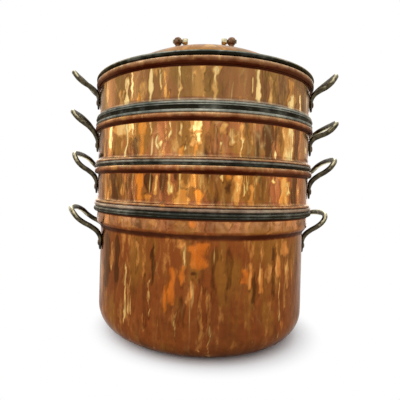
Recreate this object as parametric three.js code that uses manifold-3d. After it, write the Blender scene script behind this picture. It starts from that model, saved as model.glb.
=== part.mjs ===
// A stacking couscous steamer in hammered copper: a deep pot, three steamers and a domed lid.
// Millimetres, +Z up, origin at the centre of the pot's base, handles along X.
// Every vessel ends in the same mouth, and every steamer and the lid have the same spigot,
// so any of them stacks on any other.
import * as THREE from 'three';
import { mergeVertices } from 'three/addons/utils/BufferGeometryUtils.js';
import Module from 'manifold-3d';

const wasm = await Module();
wasm.setup();

// Driving dimensions of the whole stack
const SEGMENTS = 36;             // flats round every turned form
const SHEET = 1.8;               // thickness of the beaten copper
const GAP = 0.3;                 // between pieces that touch
const MOUTH_RADIUS = 182.2;      // inside of every mouth
const RIM_OVERHANG = 6;          // by how much a rolled rim stands out past its wall
const RIM_CREST = 0.4;           // where a roll stands out most, as a share of its height from the top
const SPIGOT_CLEARANCE = 1;      // between a spigot and the mouth that it drops into
const SPIGOT_DEPTH = 12;
const SPIGOT_SHEET = 1.7;

// Driving dimensions of the pot
const POT_HEIGHT = 210;
const POT_CORNER_RADIUS = 45;
const POT_CORNER_STEPS = 3;
const POT_RIM_HEIGHT = 8;
const NECK_HEIGHT = 26;          // the wider neck, from the shoulder's top to the rim's top
const SHOULDER_HEIGHT = 9;       // the slope between wall and neck
const SHOULDER_STEP = 7;         // by how much the neck is wider than the wall below it
const POT_TURN = 7.7;            // degrees that the pot stands turned under the stack

// Driving dimensions of the steamers, hand-beaten, so no two are quite alike
const LOW_STEAMER_HEIGHT = 64.5;
const LOW_RIM_HEIGHT = 10;
const MIDDLE_STEAMER_HEIGHT = 74.5;
const MIDDLE_RIM_HEIGHT = 13.5;
const HIGH_STEAMER_HEIGHT = 71.2;
const HIGH_RIM_HEIGHT = 11.5;
const FOOT_SETBACK = 0.7;        // by how much the foot ring's bead is inside the rim that it sits on
const FOOT_HEIGHT = 6.5;
const FOOT_BEVEL = 1.6;          // by how much the bead is narrower at its top and bottom
const FLARE_HEIGHT = 4;          // the wall's foot, spread over the sieve's edge
const SIEVE_THICKNESS = 1.5;
const SIEVE_MARGIN = 29.5;       // from the foot ring's inside to the middle of the outermost holes
const HOLE_RADIUS = 4;
const HOLE_RINGS = 3;            // rings of holes round the middle hole
const HOLES_PER_RING = 6;        // in the first ring, and as many more in each next one
const HOLE_SIDES = 5;

// Driving dimensions of the lid
const LID_RIM_HEIGHT = 6.3;
const BRIM_WIDTH = 18;           // from the rim's outside to the foot of the dome
const DOME_RISE = 58;
const DOME_FULLNESS = 2.3;       // 2 is a parabola, and more is flatter on top and steeper at the edge
const DOME_STEPS = 5;
const POST_SPACING = 98;         // between the two ball-headed posts that carry the bail
const POST_BALL_RADIUS = 8;
const POST_BALL_STEPS = 4;
const POST_STEM_RADIUS = 4.5;
const POST_FOOT_RADIUS = 11;
const POST_FOOT_HEIGHT = 2;      // the foot's straight edge, above the dome at its middle
const POST_FOOT_TAPER = 3;       // the height over which the foot narrows to the stem
const POST_SINK = 4;             // how far down the foot reaches before it is cut to the dome
const POST_RISE = 30;            // from the dome's surface to the ball's centre
const POST_SIDES = 8;
const BAIL_ROD_RADIUS = 3.5;
const BAIL_REACH = 62;           // from the pivot to the middle of the hand bar
const BAIL_COLLAR_RADIUS = 5.5;
const BAIL_COLLAR_WIDTH = 10;
const BAIL_CORNER_RADIUS = 16;
const BAIL_STEPS = 22;
const JOURNAL_END = 1;           // by how much a journal comes out of its ball

// Driving dimensions of the handles
const HANDLE_BAR_RADIUS = 4.3;
const HANDLE_REACH = 58;         // from a steamer's wall to the outside of its handle
const POT_HANDLE_REACH = 59;
const HANDLE_RISE = 35;          // the top of a steamer's handle above its rim
const POT_HANDLE_DROP = 2;       // the top of the pot's handle below the pot's rim
const PALM_DROP = 9.5;           // from the underside of a steamer's rim to the palms' tops
const POT_PALM_DROP = 13;        // from the foot of the pot's shoulder to the palms' tops
const PALM_LENGTH = 25;
const PALM_WIDTH = 17;
const PALM_THICKNESS = 4;
const PALM_STEPS = 3;            // steps along each long edge of the leaf
const PALM_TIP_PHASE = 0.1;      // the leaf's edge is a sine's, from this share of half a turn
const PALM_TOP_PHASE = 0.8;      // up to this one
const RIVET_RADIUS = 2.6;
const RIVET_HEAD_RADIUS = 5;
const RIVET_CROWN_RADIUS = 3;
const RIVET_HEAD_HEIGHT = 2;
const RIVET_DROP = 13;           // from a palm's top to its rivet
const RIVET_SIDES = 6;
const DRILL_MARGIN = 6;          // by how much a drill runs past the metal on both sides
const BAR_OVERLAP = 5;           // by how much the bar runs down over the top of its palm
const BAR_BACK = 1;              // the metal of the palm that is left behind the bar's filed end
const BAR_SIDES = 6;
const BAR_STEPS = 12;
// The S of a handle's leg, as shares of its way out to the bend, of the palms' spread and of its rise
const LEG_CURVE = [
  { out: 0.05, spread: 1, rise: 0 },
  { out: 0.3, spread: 0.95, rise: 0.26 },
  { out: 0.61, spread: 0.84, rise: 0.62 },
  { out: 0.9, spread: 0.54, rise: 0.95 },
];

// Values that follow from the driving dimensions
const WALL_RADIUS = MOUTH_RADIUS + SHEET;
const RIM_RADIUS = WALL_RADIUS + RIM_OVERHANG;
const HOOP_OUTSIDE = RIM_RADIUS - SHEET;         // outside of the hollow in every roll
const POT_RADIUS = WALL_RADIUS - SHOULDER_STEP;
const SPIGOT_RADIUS = MOUTH_RADIUS - SPIGOT_CLEARANCE;
const SPIGOT_INSIDE = SPIGOT_RADIUS - SPIGOT_SHEET;
const FOOT_RADIUS = RIM_RADIUS - FOOT_SETBACK;
const FOOT_EDGE = FOOT_RADIUS - FOOT_BEVEL;
const HOLE_PITCH = (SPIGOT_INSIDE - SIEVE_MARGIN) / HOLE_RINGS;
const DOME_RADIUS = RIM_RADIUS - BRIM_WIDTH;
const FACET_ANGLE = (2 * Math.PI) / SEGMENTS;
const PALM_ANGLE = FACET_ANGLE * 1.5;   // the palms lie on the second flat each side of the X axis

// Finishes
function finish(color, roughness, metalness = 1) {
  return new THREE.MeshStandardMaterial({ color, roughness, metalness });
}
const COPPER = finish('#b5723f', 0.28);
const OLD_COPPER = finish('#8d4f2c', 0.35);
const TIN = finish('#a09d8f', 0.5);
const DARK_TIN = finish('#35322a', 0.55);
const BRASS = finish('#9a8f55', 0.32);
const IRON = finish('#3f3b36', 0.7);

const stack = new THREE.Group();
const UP = new THREE.Vector3(0, 0, 1);

// Helpers for solids
function toManifold(geometry) {
  const bare = geometry.index ? geometry.toNonIndexed() : geometry.clone();
  bare.deleteAttribute('normal');
  bare.deleteAttribute('uv');
  const merged = mergeVertices(bare, 1e-4);
  const mesh = new wasm.Mesh({
    numProp: 3,
    vertProperties: new Float32Array(merged.attributes.position.array),
    triVerts: new Uint32Array(merged.index.array),
  });
  return new wasm.Manifold(mesh);
}

function toGeometry(manifold) {
  const mesh = manifold.getMesh();
  const geometry = new THREE.BufferGeometry();
  geometry.setAttribute('position', new THREE.BufferAttribute(mesh.vertProperties, 3));
  geometry.setIndex(new THREE.BufferAttribute(mesh.triVerts, 1));
  geometry.computeVertexNormals();
  return geometry;
}

function addPiece(parent, name, geometry, material) {
  const mesh = new THREE.Mesh(geometry, material);
  mesh.name = name;
  parent.add(mesh);
}

// A turned form about Z. The profile holds [radius, height] pairs and either closes on itself
// or starts and ends on the axis; it may run either way round.
function turned(profile, closed = true, segments = SEGMENTS) {
  const points = profile.map(([r, z]) => new THREE.Vector2(r, z));
  if (THREE.ShapeUtils.isClockWise(points)) points.reverse();
  if (closed) points.push(points[0].clone());
  return new THREE.LatheGeometry(points, segments).rotateX(Math.PI / 2);
}

// A square-edged ring about Z.
function ring(inside, outside, bottom, top) {
  return turned([[inside, bottom], [outside, bottom], [outside, top], [inside, top]]);
}

// The points of a regular polygon, counted round from the X axis.
function polygon(radius, count, phase = 0) {
  const points = [];
  for (let i = 0; i < count; i += 1) {
    const angle = (2 * Math.PI * (i + phase)) / count;
    points.push(new THREE.Vector2(radius * Math.cos(angle), radius * Math.sin(angle)));
  }
  return points;
}

// The section of a handle's or the bail's rod, with a flat and no edge towards each side.
function rodSection(radius) {
  return new THREE.Shape(polygon(radius, BAR_SIDES, 0.5));
}

// The rolled rim of a vessel: the sheet goes up, over and down round an iron hoop,
// and stops just short of the wall. Listed from the mouth's inside to the wall's outside.
function rolledRim(top, rimHeight) {
  const lip = top - rimHeight;
  return [
    [MOUTH_RADIUS, top],
    [HOOP_OUTSIDE, top],
    [RIM_RADIUS, top - rimHeight * RIM_CREST],
    [HOOP_OUTSIDE, lip],
    [WALL_RADIUS + 2 * GAP, lip],
    [WALL_RADIUS + 2 * GAP, lip + SHEET],
    [HOOP_OUTSIDE, lip + SHEET],
    [HOOP_OUTSIDE, top - SHEET],
    [WALL_RADIUS, top - SHEET],
  ];
}

// The flat iron hoop that stiffens a roll, loose in it.
function hoop(lip, top) {
  return ring(WALL_RADIUS + GAP, HOOP_OUTSIDE - GAP, lip + SHEET + GAP, top - SHEET - GAP);
}

// Handles and rivets
// A palm lies on a flat of the wall, at PALM_ANGLE to one side of the X axis. Gives the flat's outward
// direction, and the point at a distance out from the flat's middle line and at a height.
function palmPlace(wallRadius, side) {
  const outward = new THREE.Vector3(Math.cos(PALM_ANGLE), side * Math.sin(PALM_ANGLE), 0);
  const flat = wallRadius * Math.cos(FACET_ANGLE / 2);
  const at = (distance, z) => outward.clone().multiplyScalar(flat + distance).setZ(z);
  return { outward, at };
}

// Puts a shape that is drawn about Z, or in the XY plane with its top towards Y, onto a palm's flat.
function ontoFlat(geometry, place, distance, z) {
  const across = UP.clone().cross(place.outward);
  const frame = new THREE.Matrix4().makeBasis(across, UP, place.outward);
  frame.setPosition(place.at(distance, z));
  return geometry.applyMatrix4(frame);
}

// A leaf-shaped palm: round shoulders at the top, and a blunt tip at the bottom.
function palm(place, tipZ) {
  const edge = [];
  for (let i = 0; i <= PALM_STEPS; i += 1) {
    const share = i / PALM_STEPS;
    const phase = PALM_TIP_PHASE + (PALM_TOP_PHASE - PALM_TIP_PHASE) * share;
    edge.push(new THREE.Vector2((PALM_WIDTH / 2) * Math.sin(Math.PI * phase), PALM_LENGTH * share));
  }
  const mirrored = edge.map((p) => new THREE.Vector2(-p.x, p.y)).reverse();
  const leaf = new THREE.Shape([...edge, ...mirrored]);
  const plate = new THREE.ExtrudeGeometry(leaf, { depth: PALM_THICKNESS, bevelEnabled: false });
  return ontoFlat(plate, place, GAP, tipZ);
}

// The bar's centre line: up the palm, off the wall in an S, and round the hand's bend.
function handlePath(fit) {
  const start = palmPlace(fit.wallRadius, 1).at(GAP + PALM_THICKNESS / 2, fit.palmTopZ);
  const bend = fit.wallRadius + fit.reach - HANDLE_BAR_RADIUS;
  const bendZ = fit.topZ - HANDLE_BAR_RADIUS;
  const leg = LEG_CURVE.map(({ out, spread, rise }) => new THREE.Vector3(
    start.x + (bend - start.x) * out,
    start.y * spread,
    start.z + (bendZ - start.z) * rise,
  ));
  leg.unshift(start.clone().setZ(start.z - BAR_OVERLAP));
  const mirrored = leg.map((p) => new THREE.Vector3(p.x, -p.y, p.z)).reverse();
  const middle = new THREE.Vector3(bend, 0, bendZ);
  return new THREE.CatmullRomCurve3([...leg, middle, ...mirrored], false, 'centripetal');
}

// A rivet through a palm and the wall: domed head outside, shank cut flush inside.
function rivet(place, z) {
  const head = PALM_THICKNESS + 2 * GAP;
  const pin = turned([
    [0, -SHEET],
    [RIVET_RADIUS, -SHEET],
    [RIVET_RADIUS, head],
    [RIVET_HEAD_RADIUS, head],
    [RIVET_CROWN_RADIUS, head + RIVET_HEAD_HEIGHT],
    [0, head + RIVET_HEAD_HEIGHT],
  ], false, RIVET_SIDES);
  return ontoFlat(pin, place, 0, z);
}

function rivetHole(place, z) {
  const inside = SHEET + DRILL_MARGIN;
  const outside = PALM_THICKNESS + DRILL_MARGIN;
  const radius = RIVET_RADIUS + GAP;
  const drill = new THREE.CylinderGeometry(radius, radius, inside + outside, RIVET_SIDES);
  drill.rotateX(Math.PI / 2).translate(0, 0, (outside - inside) / 2);
  return toManifold(ontoFlat(drill, place, 0, z));
}

// A vessel's pair of handles with their rivets. Returns the wall, drilled to take them.
// fit holds the wall's radius, the handle's reach, and the heights of the palms' tops and the bar's top.
function addHandles(parent, base, fit, wallGeometry) {
  const palmTipZ = fit.palmTopZ - PALM_LENGTH;
  const rivetZ = fit.palmTopZ - RIVET_DROP;
  const section = rodSection(HANDLE_BAR_RADIUS);
  const bar = new THREE.ExtrudeGeometry(section, { steps: BAR_STEPS, extrudePath: handlePath(fit) });
  const filedTo = fit.wallRadius + GAP + BAR_BACK;
  const filed = turned([[0, palmTipZ], [filedTo, palmTipZ], [filedTo, fit.topZ], [0, fit.topZ]], false);
  const halfTurn = new THREE.Matrix4().makeRotationZ(Math.PI);
  let handle = toManifold(bar).subtract(toManifold(filed));
  let wall = toManifold(wallGeometry);
  for (const side of [1, -1]) {
    const place = palmPlace(fit.wallRadius, side);
    const hole = rivetHole(place, rivetZ);
    handle = handle.add(toManifold(palm(place, palmTipZ))).subtract(hole);
    wall = wall.subtract(hole).subtract(hole.rotate([0, 0, 180]));
    const pin = rivet(place, rivetZ);
    const opposite = pin.clone().applyMatrix4(halfTurn);
    addPiece(parent, `${base}_rivet_right_${side > 0 ? 'back' : 'front'}`, pin, OLD_COPPER);
    addPiece(parent, `${base}_rivet_left_${side > 0 ? 'front' : 'back'}`, opposite, OLD_COPPER);
  }
  const right = toGeometry(handle);
  addPiece(parent, `${base}_handle_right`, right, BRASS);
  addPiece(parent, `${base}_handle_left`, right.clone().applyMatrix4(halfTurn), BRASS);
  return toGeometry(wall);
}

// The pot
// Its sheet runs from the base's middle out, round the corner, up the wall and over the shoulder
// into the neck, whose mouth and rim are those of every vessel.
const NECK_BOTTOM = POT_HEIGHT - NECK_HEIGHT;
const SHOULDER_BOTTOM = NECK_BOTTOM - SHOULDER_HEIGHT;

function potSection(offset) {
  const points = [];
  const arcRadius = POT_CORNER_RADIUS - offset;
  for (let i = 0; i <= POT_CORNER_STEPS; i += 1) {
    const angle = (Math.PI / 2) * (i / POT_CORNER_STEPS);
    const r = POT_RADIUS - POT_CORNER_RADIUS + arcRadius * Math.sin(angle);
    points.push([r, POT_CORNER_RADIUS - arcRadius * Math.cos(angle)]);
  }
  points.push([POT_RADIUS - offset, SHOULDER_BOTTOM]);
  points.push([WALL_RADIUS - offset, NECK_BOTTOM]);
  return points;
}

function makePot() {
  const pot = new THREE.Group();
  pot.rotation.z = THREE.MathUtils.degToRad(POT_TURN);
  const shell = turned([
    [0, SHEET],
    ...potSection(SHEET),
    ...rolledRim(POT_HEIGHT, POT_RIM_HEIGHT),
    ...potSection(0).reverse(),
    [0, 0],
  ], false);
  const fit = {
    wallRadius: POT_RADIUS,
    reach: POT_HANDLE_REACH,
    palmTopZ: SHOULDER_BOTTOM - POT_PALM_DROP,
    topZ: POT_HEIGHT - POT_HANDLE_DROP,
  };
  addPiece(pot, 'pot_shell', addHandles(pot, 'pot', fit, shell), OLD_COPPER);
  addPiece(pot, 'pot_rim_hoop', hoop(POT_HEIGHT - POT_RIM_HEIGHT, POT_HEIGHT), IRON);
  stack.add(pot);
}

// The steamers
// Foot ring: an outer bead that sits on the rim below, and a spigot that drops into its mouth.
function footRing(seat) {
  const top = seat + FOOT_HEIGHT;
  return turned([
    [SPIGOT_RADIUS, seat],
    [FOOT_EDGE, seat],
    [FOOT_RADIUS, seat + FOOT_HEIGHT / 2],
    [FOOT_EDGE, top],
    [SPIGOT_INSIDE, top],
    [SPIGOT_INSIDE, seat - SPIGOT_DEPTH],
    [SPIGOT_RADIUS, seat - SPIGOT_DEPTH],
  ]);
}

function holeCentres() {
  const centres = [new THREE.Vector2(0, 0)];
  for (let i = 1; i <= HOLE_RINGS; i += 1) {
    centres.push(...polygon(i * HOLE_PITCH, i * HOLES_PER_RING));
  }
  return centres;
}

// Sieve: a disc as wide as the foot ring's top, pierced in rings round a middle hole.
function sieve(bottom) {
  const disc = new THREE.Shape(polygon(FOOT_EDGE, SEGMENTS));
  for (const centre of holeCentres()) {
    const edge = polygon(HOLE_RADIUS, HOLE_SIDES).map((p) => p.add(centre));
    disc.holes.push(new THREE.Path(edge.reverse()));
  }
  const plate = new THREE.ExtrudeGeometry(disc, { depth: SIEVE_THICKNESS, bevelEnabled: false });
  return plate.translate(0, 0, bottom);
}

// Wall: spread at the foot over the sieve's edge, straight, and rolled at the top.
function steamerWall(bottom, top, rimHeight) {
  return turned([
    [MOUTH_RADIUS, bottom],
    ...rolledRim(top, rimHeight),
    [WALL_RADIUS, bottom + FLARE_HEIGHT],
    [FOOT_EDGE, bottom],
  ]);
}

// A steamer that stands on the rim at height below. Returns the height of its own rim.
function makeSteamer(base, below, height, rimHeight, footFinish) {
  const steamer = new THREE.Group();
  const seat = below + GAP;
  const top = below + height;
  const lip = top - rimHeight;
  const sieveBottom = seat + FOOT_HEIGHT + GAP;
  const wallBottom = sieveBottom + SIEVE_THICKNESS + GAP;
  const fit = {
    wallRadius: WALL_RADIUS,
    reach: HANDLE_REACH,
    palmTopZ: lip - PALM_DROP,
    topZ: top + HANDLE_RISE,
  };
  const wall = steamerWall(wallBottom, top, rimHeight);
  addPiece(steamer, `${base}_wall`, addHandles(steamer, base, fit, wall), COPPER);
  addPiece(steamer, `${base}_rim_hoop`, hoop(lip, top), IRON);
  addPiece(steamer, `${base}_sieve`, sieve(sieveBottom), TIN);
  addPiece(steamer, `${base}_foot_ring`, footRing(seat), footFinish);
  stack.add(steamer);
  return top;
}

// The lid
function domeHeight(r) {
  return DOME_RISE * (1 - (r / DOME_RADIUS) ** DOME_FULLNESS);
}

// The dome's curve from its top to its edge, lowered by an offset.
function domeCurve(brim, offset) {
  const points = [];
  for (let i = 0; i <= DOME_STEPS; i += 1) {
    const r = DOME_RADIUS * Math.sin((Math.PI / 2) * (i / DOME_STEPS));
    points.push([r, brim + domeHeight(r) - offset]);
  }
  return points;
}

// The lid's shell: dome, flat brim, and an edge that is rolled under round its hoop.
function lidShell(seat, brim) {
  return turned([
    ...domeCurve(brim, 0),
    [HOOP_OUTSIDE, brim],
    [RIM_RADIUS, brim - SHEET],
    [RIM_RADIUS, seat + SHEET / 2],
    [HOOP_OUTSIDE, seat],
    [WALL_RADIUS, seat],
    [WALL_RADIUS, seat + SHEET],
    [HOOP_OUTSIDE, seat + SHEET],
    [HOOP_OUTSIDE, brim - SHEET],
    ...domeCurve(brim, SHEET).reverse(),
  ], false);
}

// A post: round foot, stem and ball head, bored along X for the bail, with its foot cut to the dome.
function post(side, brim, pivotZ) {
  const x = (side * POST_SPACING) / 2;
  const foot = pivotZ - POST_RISE;
  const profile = [
    [0, foot - POST_SINK],
    [POST_FOOT_RADIUS, foot - POST_SINK],
    [POST_FOOT_RADIUS, foot + POST_FOOT_HEIGHT],
    [POST_STEM_RADIUS, foot + POST_FOOT_HEIGHT + POST_FOOT_TAPER],
  ];
  const start = -Math.acos(POST_STEM_RADIUS / POST_BALL_RADIUS);
  for (let i = 0; i < POST_BALL_STEPS; i += 1) {
    const angle = start + (Math.PI / 2 - start) * (i / POST_BALL_STEPS);
    profile.push([POST_BALL_RADIUS * Math.cos(angle), pivotZ + POST_BALL_RADIUS * Math.sin(angle)]);
  }
  profile.push([0, pivotZ + POST_BALL_RADIUS]);
  const body = toManifold(turned(profile, false, POST_SIDES).translate(x, 0, 0));
  const boreRadius = BAIL_ROD_RADIUS + GAP;
  const boreLength = 2 * (POST_BALL_RADIUS + DRILL_MARGIN);
  const bore = new THREE.CylinderGeometry(boreRadius, boreRadius, boreLength, POST_SIDES);
  bore.rotateZ(Math.PI / 2).translate(x, 0, pivotZ);
  const under = brim - DOME_RISE;
  const mould = turned([...domeCurve(brim, -GAP), [DOME_RADIUS, under], [0, under]], false);
  return toGeometry(body.subtract(toManifold(bore)).subtract(toManifold(mould)));
}

// The bail hangs back from its pivot until its hand bar rests on the dome.
// Turns the bail down in small steps until the bar's underside would touch.
function bailRestAngle(brim, pivotZ) {
  const step = THREE.MathUtils.degToRad(0.1);
  const clearance = (angle) => {
    const y = BAIL_REACH * Math.cos(angle);
    const z = pivotZ - BAIL_REACH * Math.sin(angle);
    return z - BAIL_ROD_RADIUS / Math.cos(angle) - (brim + domeHeight(y));
  };
  let angle = 0;
  while (clearance(angle) > 2 * GAP && angle < Math.PI / 3) angle += step;
  return angle;
}

// The bail's centre line: out along one leg, round a corner, across, and back along the other leg.
function bailPath(legX) {
  const at = (x, y) => new THREE.Vector3(x, y, 0);
  const legEnd = BAIL_REACH - BAIL_CORNER_RADIUS;
  const barX = legX - BAIL_CORNER_RADIUS;
  const corner = (...points) => new THREE.QuadraticBezierCurve3(...points);
  const path = new THREE.CurvePath();
  path.add(new THREE.LineCurve3(at(legX, 0), at(legX, legEnd)));
  path.add(corner(at(legX, legEnd), at(legX, BAIL_REACH), at(barX, BAIL_REACH)));
  path.add(new THREE.LineCurve3(at(barX, BAIL_REACH), at(-barX, BAIL_REACH)));
  path.add(corner(at(-barX, BAIL_REACH), at(-legX, BAIL_REACH), at(-legX, legEnd)));
  path.add(new THREE.LineCurve3(at(-legX, legEnd), at(-legX, 0)));
  return path;
}

// Bail: a rod bent into a flat U with round corners, with a collar at each leg's root
// and a journal that runs out through the post's ball.
function bail(brim, pivotZ) {
  const collarEnd = POST_SPACING / 2 - POST_BALL_RADIUS - GAP;
  const collarStart = collarEnd - BAIL_COLLAR_WIDTH;
  const journalEnd = POST_SPACING / 2 + POST_BALL_RADIUS + JOURNAL_END;
  const extrudePath = bailPath((collarStart + collarEnd) / 2);
  const bent = new THREE.ExtrudeGeometry(rodSection(BAIL_ROD_RADIUS), { steps: BAIL_STEPS, extrudePath });
  let rod = toManifold(bent);
  for (const side of [1, -1]) {
    const journal = turned([
      [0, collarStart],
      [BAIL_COLLAR_RADIUS, collarStart],
      [BAIL_COLLAR_RADIUS, collarEnd],
      [BAIL_ROD_RADIUS, collarEnd],
      [BAIL_ROD_RADIUS, journalEnd],
      [0, journalEnd],
    ], false, POST_SIDES);
    rod = rod.add(toManifold(journal.rotateY((side * Math.PI) / 2)));
  }
  const hanging = toGeometry(rod).rotateX(-bailRestAngle(brim, pivotZ));
  return hanging.translate(0, 0, pivotZ);
}

function makeLid(below) {
  const lid = new THREE.Group();
  const seat = below + GAP;
  const brim = seat + LID_RIM_HEIGHT;
  const pivotZ = brim + domeHeight(POST_SPACING / 2) + POST_RISE;
  const spigot = ring(SPIGOT_INSIDE, SPIGOT_RADIUS, seat - SPIGOT_DEPTH, brim - SHEET - GAP);
  addPiece(lid, 'lid_dome', lidShell(seat, brim), COPPER);
  addPiece(lid, 'lid_rim_hoop', hoop(seat, brim), IRON);
  addPiece(lid, 'lid_spigot', spigot, DARK_TIN);
  addPiece(lid, 'lid_post_left', post(-1, brim, pivotZ), COPPER);
  addPiece(lid, 'lid_post_right', post(1, brim, pivotZ), COPPER);
  addPiece(lid, 'bail', bail(brim, pivotZ), BRASS);
  stack.add(lid);
}

makePot();
const lowTop = makeSteamer('steamer_1', POT_HEIGHT, LOW_STEAMER_HEIGHT, LOW_RIM_HEIGHT, COPPER);
const middleTop = makeSteamer('steamer_2', lowTop, MIDDLE_STEAMER_HEIGHT, MIDDLE_RIM_HEIGHT, TIN);
const highTop = makeSteamer('steamer_3', middleTop, HIGH_STEAMER_HEIGHT, HIGH_RIM_HEIGHT, TIN);
makeLid(highTop);

export default stack;
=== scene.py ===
# %% [markdown]
# # A couscous steamer in beaten copper
# The part is a stack: a deep pot, three steamers with pierced bottoms, and a domed lid with a folding bail.
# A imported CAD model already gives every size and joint. This notebook dresses it: it replaces the plain
# faceted solids by smooth or hammered surfaces in the same places, and gives everything its finish.
# All lengths are metres, +Z is up, and the stack stands on z = 0 with its handles along X.

import bpy
import numpy as np
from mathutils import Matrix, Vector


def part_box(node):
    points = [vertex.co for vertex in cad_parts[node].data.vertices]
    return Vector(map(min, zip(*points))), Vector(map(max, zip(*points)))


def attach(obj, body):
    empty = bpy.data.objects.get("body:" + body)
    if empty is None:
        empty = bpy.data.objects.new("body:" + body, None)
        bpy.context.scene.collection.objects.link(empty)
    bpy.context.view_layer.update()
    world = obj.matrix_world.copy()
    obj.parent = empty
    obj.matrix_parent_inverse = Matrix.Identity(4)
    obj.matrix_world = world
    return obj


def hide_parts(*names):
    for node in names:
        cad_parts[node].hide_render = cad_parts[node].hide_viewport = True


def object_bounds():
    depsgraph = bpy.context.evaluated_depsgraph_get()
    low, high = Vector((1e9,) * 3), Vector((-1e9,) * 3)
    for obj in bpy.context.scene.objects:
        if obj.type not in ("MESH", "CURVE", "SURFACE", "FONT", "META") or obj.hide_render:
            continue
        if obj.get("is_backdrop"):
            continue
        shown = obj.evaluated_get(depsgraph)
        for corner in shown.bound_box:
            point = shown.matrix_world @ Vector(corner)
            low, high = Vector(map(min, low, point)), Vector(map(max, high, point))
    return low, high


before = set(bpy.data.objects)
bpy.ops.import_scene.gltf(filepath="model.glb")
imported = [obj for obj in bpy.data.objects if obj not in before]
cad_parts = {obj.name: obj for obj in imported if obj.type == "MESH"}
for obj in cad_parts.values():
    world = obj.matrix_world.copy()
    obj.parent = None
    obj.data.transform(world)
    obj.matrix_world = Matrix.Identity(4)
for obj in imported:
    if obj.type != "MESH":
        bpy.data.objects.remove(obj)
cad_low, cad_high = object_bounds()
print("nodes:", len(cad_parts), "box:", [round(v, 4) for v in (*cad_low, *cad_high)])

# %% [markdown]
# ## Sizes
# Every vessel has the same mouth and rim, so a few numbers describe the whole stack. What a box can tell
# is read from the frame: how high each rim is, and how wide the rims, foot rings, spigots and sieves are.
# The rest are the sheet metal's own sizes, repeated from the CAD source in millimetres.

# %% Sizes of the sheet metal
MM = 0.001
SHEET = 1.8 * MM
GAP = 0.3 * MM
EDGE_ROUND = 1 * MM
RIM_OVERHANG = 6 * MM
SHOULDER_STEP = 7 * MM
NECK_HEIGHT = 26 * MM
SHOULDER_HEIGHT = 9 * MM
POT_CORNER_RADIUS = 45 * MM
POT_RIM_HEIGHT = 8 * MM
RIM_HEIGHTS = {"steamer_1": 10 * MM, "steamer_2": 13.5 * MM, "steamer_3": 11.5 * MM}
SPIGOT_SHEET = 1.7 * MM
SPIGOT_DEPTH = 12 * MM

RIM_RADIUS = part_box("steamer_1_wall")[1].x
WALL_RADIUS = RIM_RADIUS - RIM_OVERHANG
MOUTH_RADIUS = WALL_RADIUS - SHEET
POT_RADIUS = WALL_RADIUS - SHOULDER_STEP
POT_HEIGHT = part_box("pot_shell")[1].z
FOOT_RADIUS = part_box("steamer_1_foot_ring")[1].x
SPIGOT_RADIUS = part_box("lid_spigot")[1].x
SIEVE_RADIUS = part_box("steamer_1_sieve")[1].x
STEAMERS = ["steamer_1", "steamer_2", "steamer_3"]
print("rim radius", round(RIM_RADIUS, 4), "wall", round(WALL_RADIUS, 4), "pot", round(POT_RADIUS, 4))

# %% [markdown]
# ## Camera
# The photograph was taken from close by, at half the stack's height: the upper rims are seen from below and
# the base from above. A camera fitted to the curves of the rims gives its distance, height and focal
# length. The lens's axis meets the picture left of its middle and a little above it, which two shifts
# repeat. The stack stands to the right of that axis, so the camera looks past it by a small yaw, and the
# stack leans a little in the picture, which a small roll repeats.

# %% Camera
PICTURE_PIXELS = 400
FOCAL_PIXELS = 363.6
AXIS_COLUMN = 200.8
LENS_PIXEL = (178.5, 186.7)
YAW = np.arctan((AXIS_COLUMN - LENS_PIXEL[0]) / FOCAL_PIXELS)
EYE_DISTANCE = 0.667
EYE_HEIGHT = 0.245
ROLL = np.radians(1.5)

camera_data = bpy.data.cameras.new("photo_camera")
camera_data.lens = camera_data.sensor_width * FOCAL_PIXELS / PICTURE_PIXELS
camera_data.shift_x = (PICTURE_PIXELS / 2 - LENS_PIXEL[0]) / PICTURE_PIXELS
camera_data.shift_y = (LENS_PIXEL[1] - PICTURE_PIXELS / 2) / PICTURE_PIXELS
camera = bpy.data.objects.new("photo_camera", camera_data)
camera.location = (0, -EYE_DISTANCE, EYE_HEIGHT)
camera.rotation_euler = (np.radians(90), -ROLL, YAW)
bpy.context.scene.collection.objects.link(camera)
bpy.context.scene.camera = camera
bpy.context.scene.view_settings.view_transform = "Standard"
print("lens", round(camera_data.lens, 2), "mm")

# %% [markdown]
# ## Helpers for node trees
# A material is a graph of nodes. Writing each node and link by hand hides what the graph does, so small
# helpers make a node with its settings in one call and join sockets. `wire` takes either a plain value or
# another node's output, whichever a socket needs.

# %% Node helpers
def node(tree, kind, **settings):
    """A new node in a tree, with its properties set by name."""
    made = tree.nodes.new(kind)
    for key, value in settings.items():
        setattr(made, key, value)
    return made


def wire(tree, target, source):
    """Feeds an input socket from an output socket, or sets its own value."""
    if isinstance(source, bpy.types.NodeSocket):
        tree.links.new(source, target)
    else:
        target.default_value = source


def maths(tree, operation, a, b, clamp=False):
    """One Math node. Returns its output."""
    made = node(tree, "ShaderNodeMath", operation=operation, use_clamp=clamp)
    wire(tree, made.inputs[0], a)
    wire(tree, made.inputs[1], b)
    return made.outputs[0]


def times(tree, a, b):
    """a * b"""
    return maths(tree, "MULTIPLY", a, b)


def plus(tree, a, b):
    """a + b"""
    return maths(tree, "ADD", a, b)


def blend(tree, share, first, second, kind="RGBA"):
    """A Mix node for colours or numbers: first where share is 0, and second where it is 1."""
    made = node(tree, "ShaderNodeMix", data_type=kind)
    wire(tree, made.inputs["Factor"], share)
    first_socket = {"RGBA": 6, "FLOAT": 2}[kind]
    wire(tree, made.inputs[first_socket], first)
    wire(tree, made.inputs[first_socket + 1], second)
    return made.outputs[{"RGBA": 2, "FLOAT": 0}[kind]]


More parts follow.
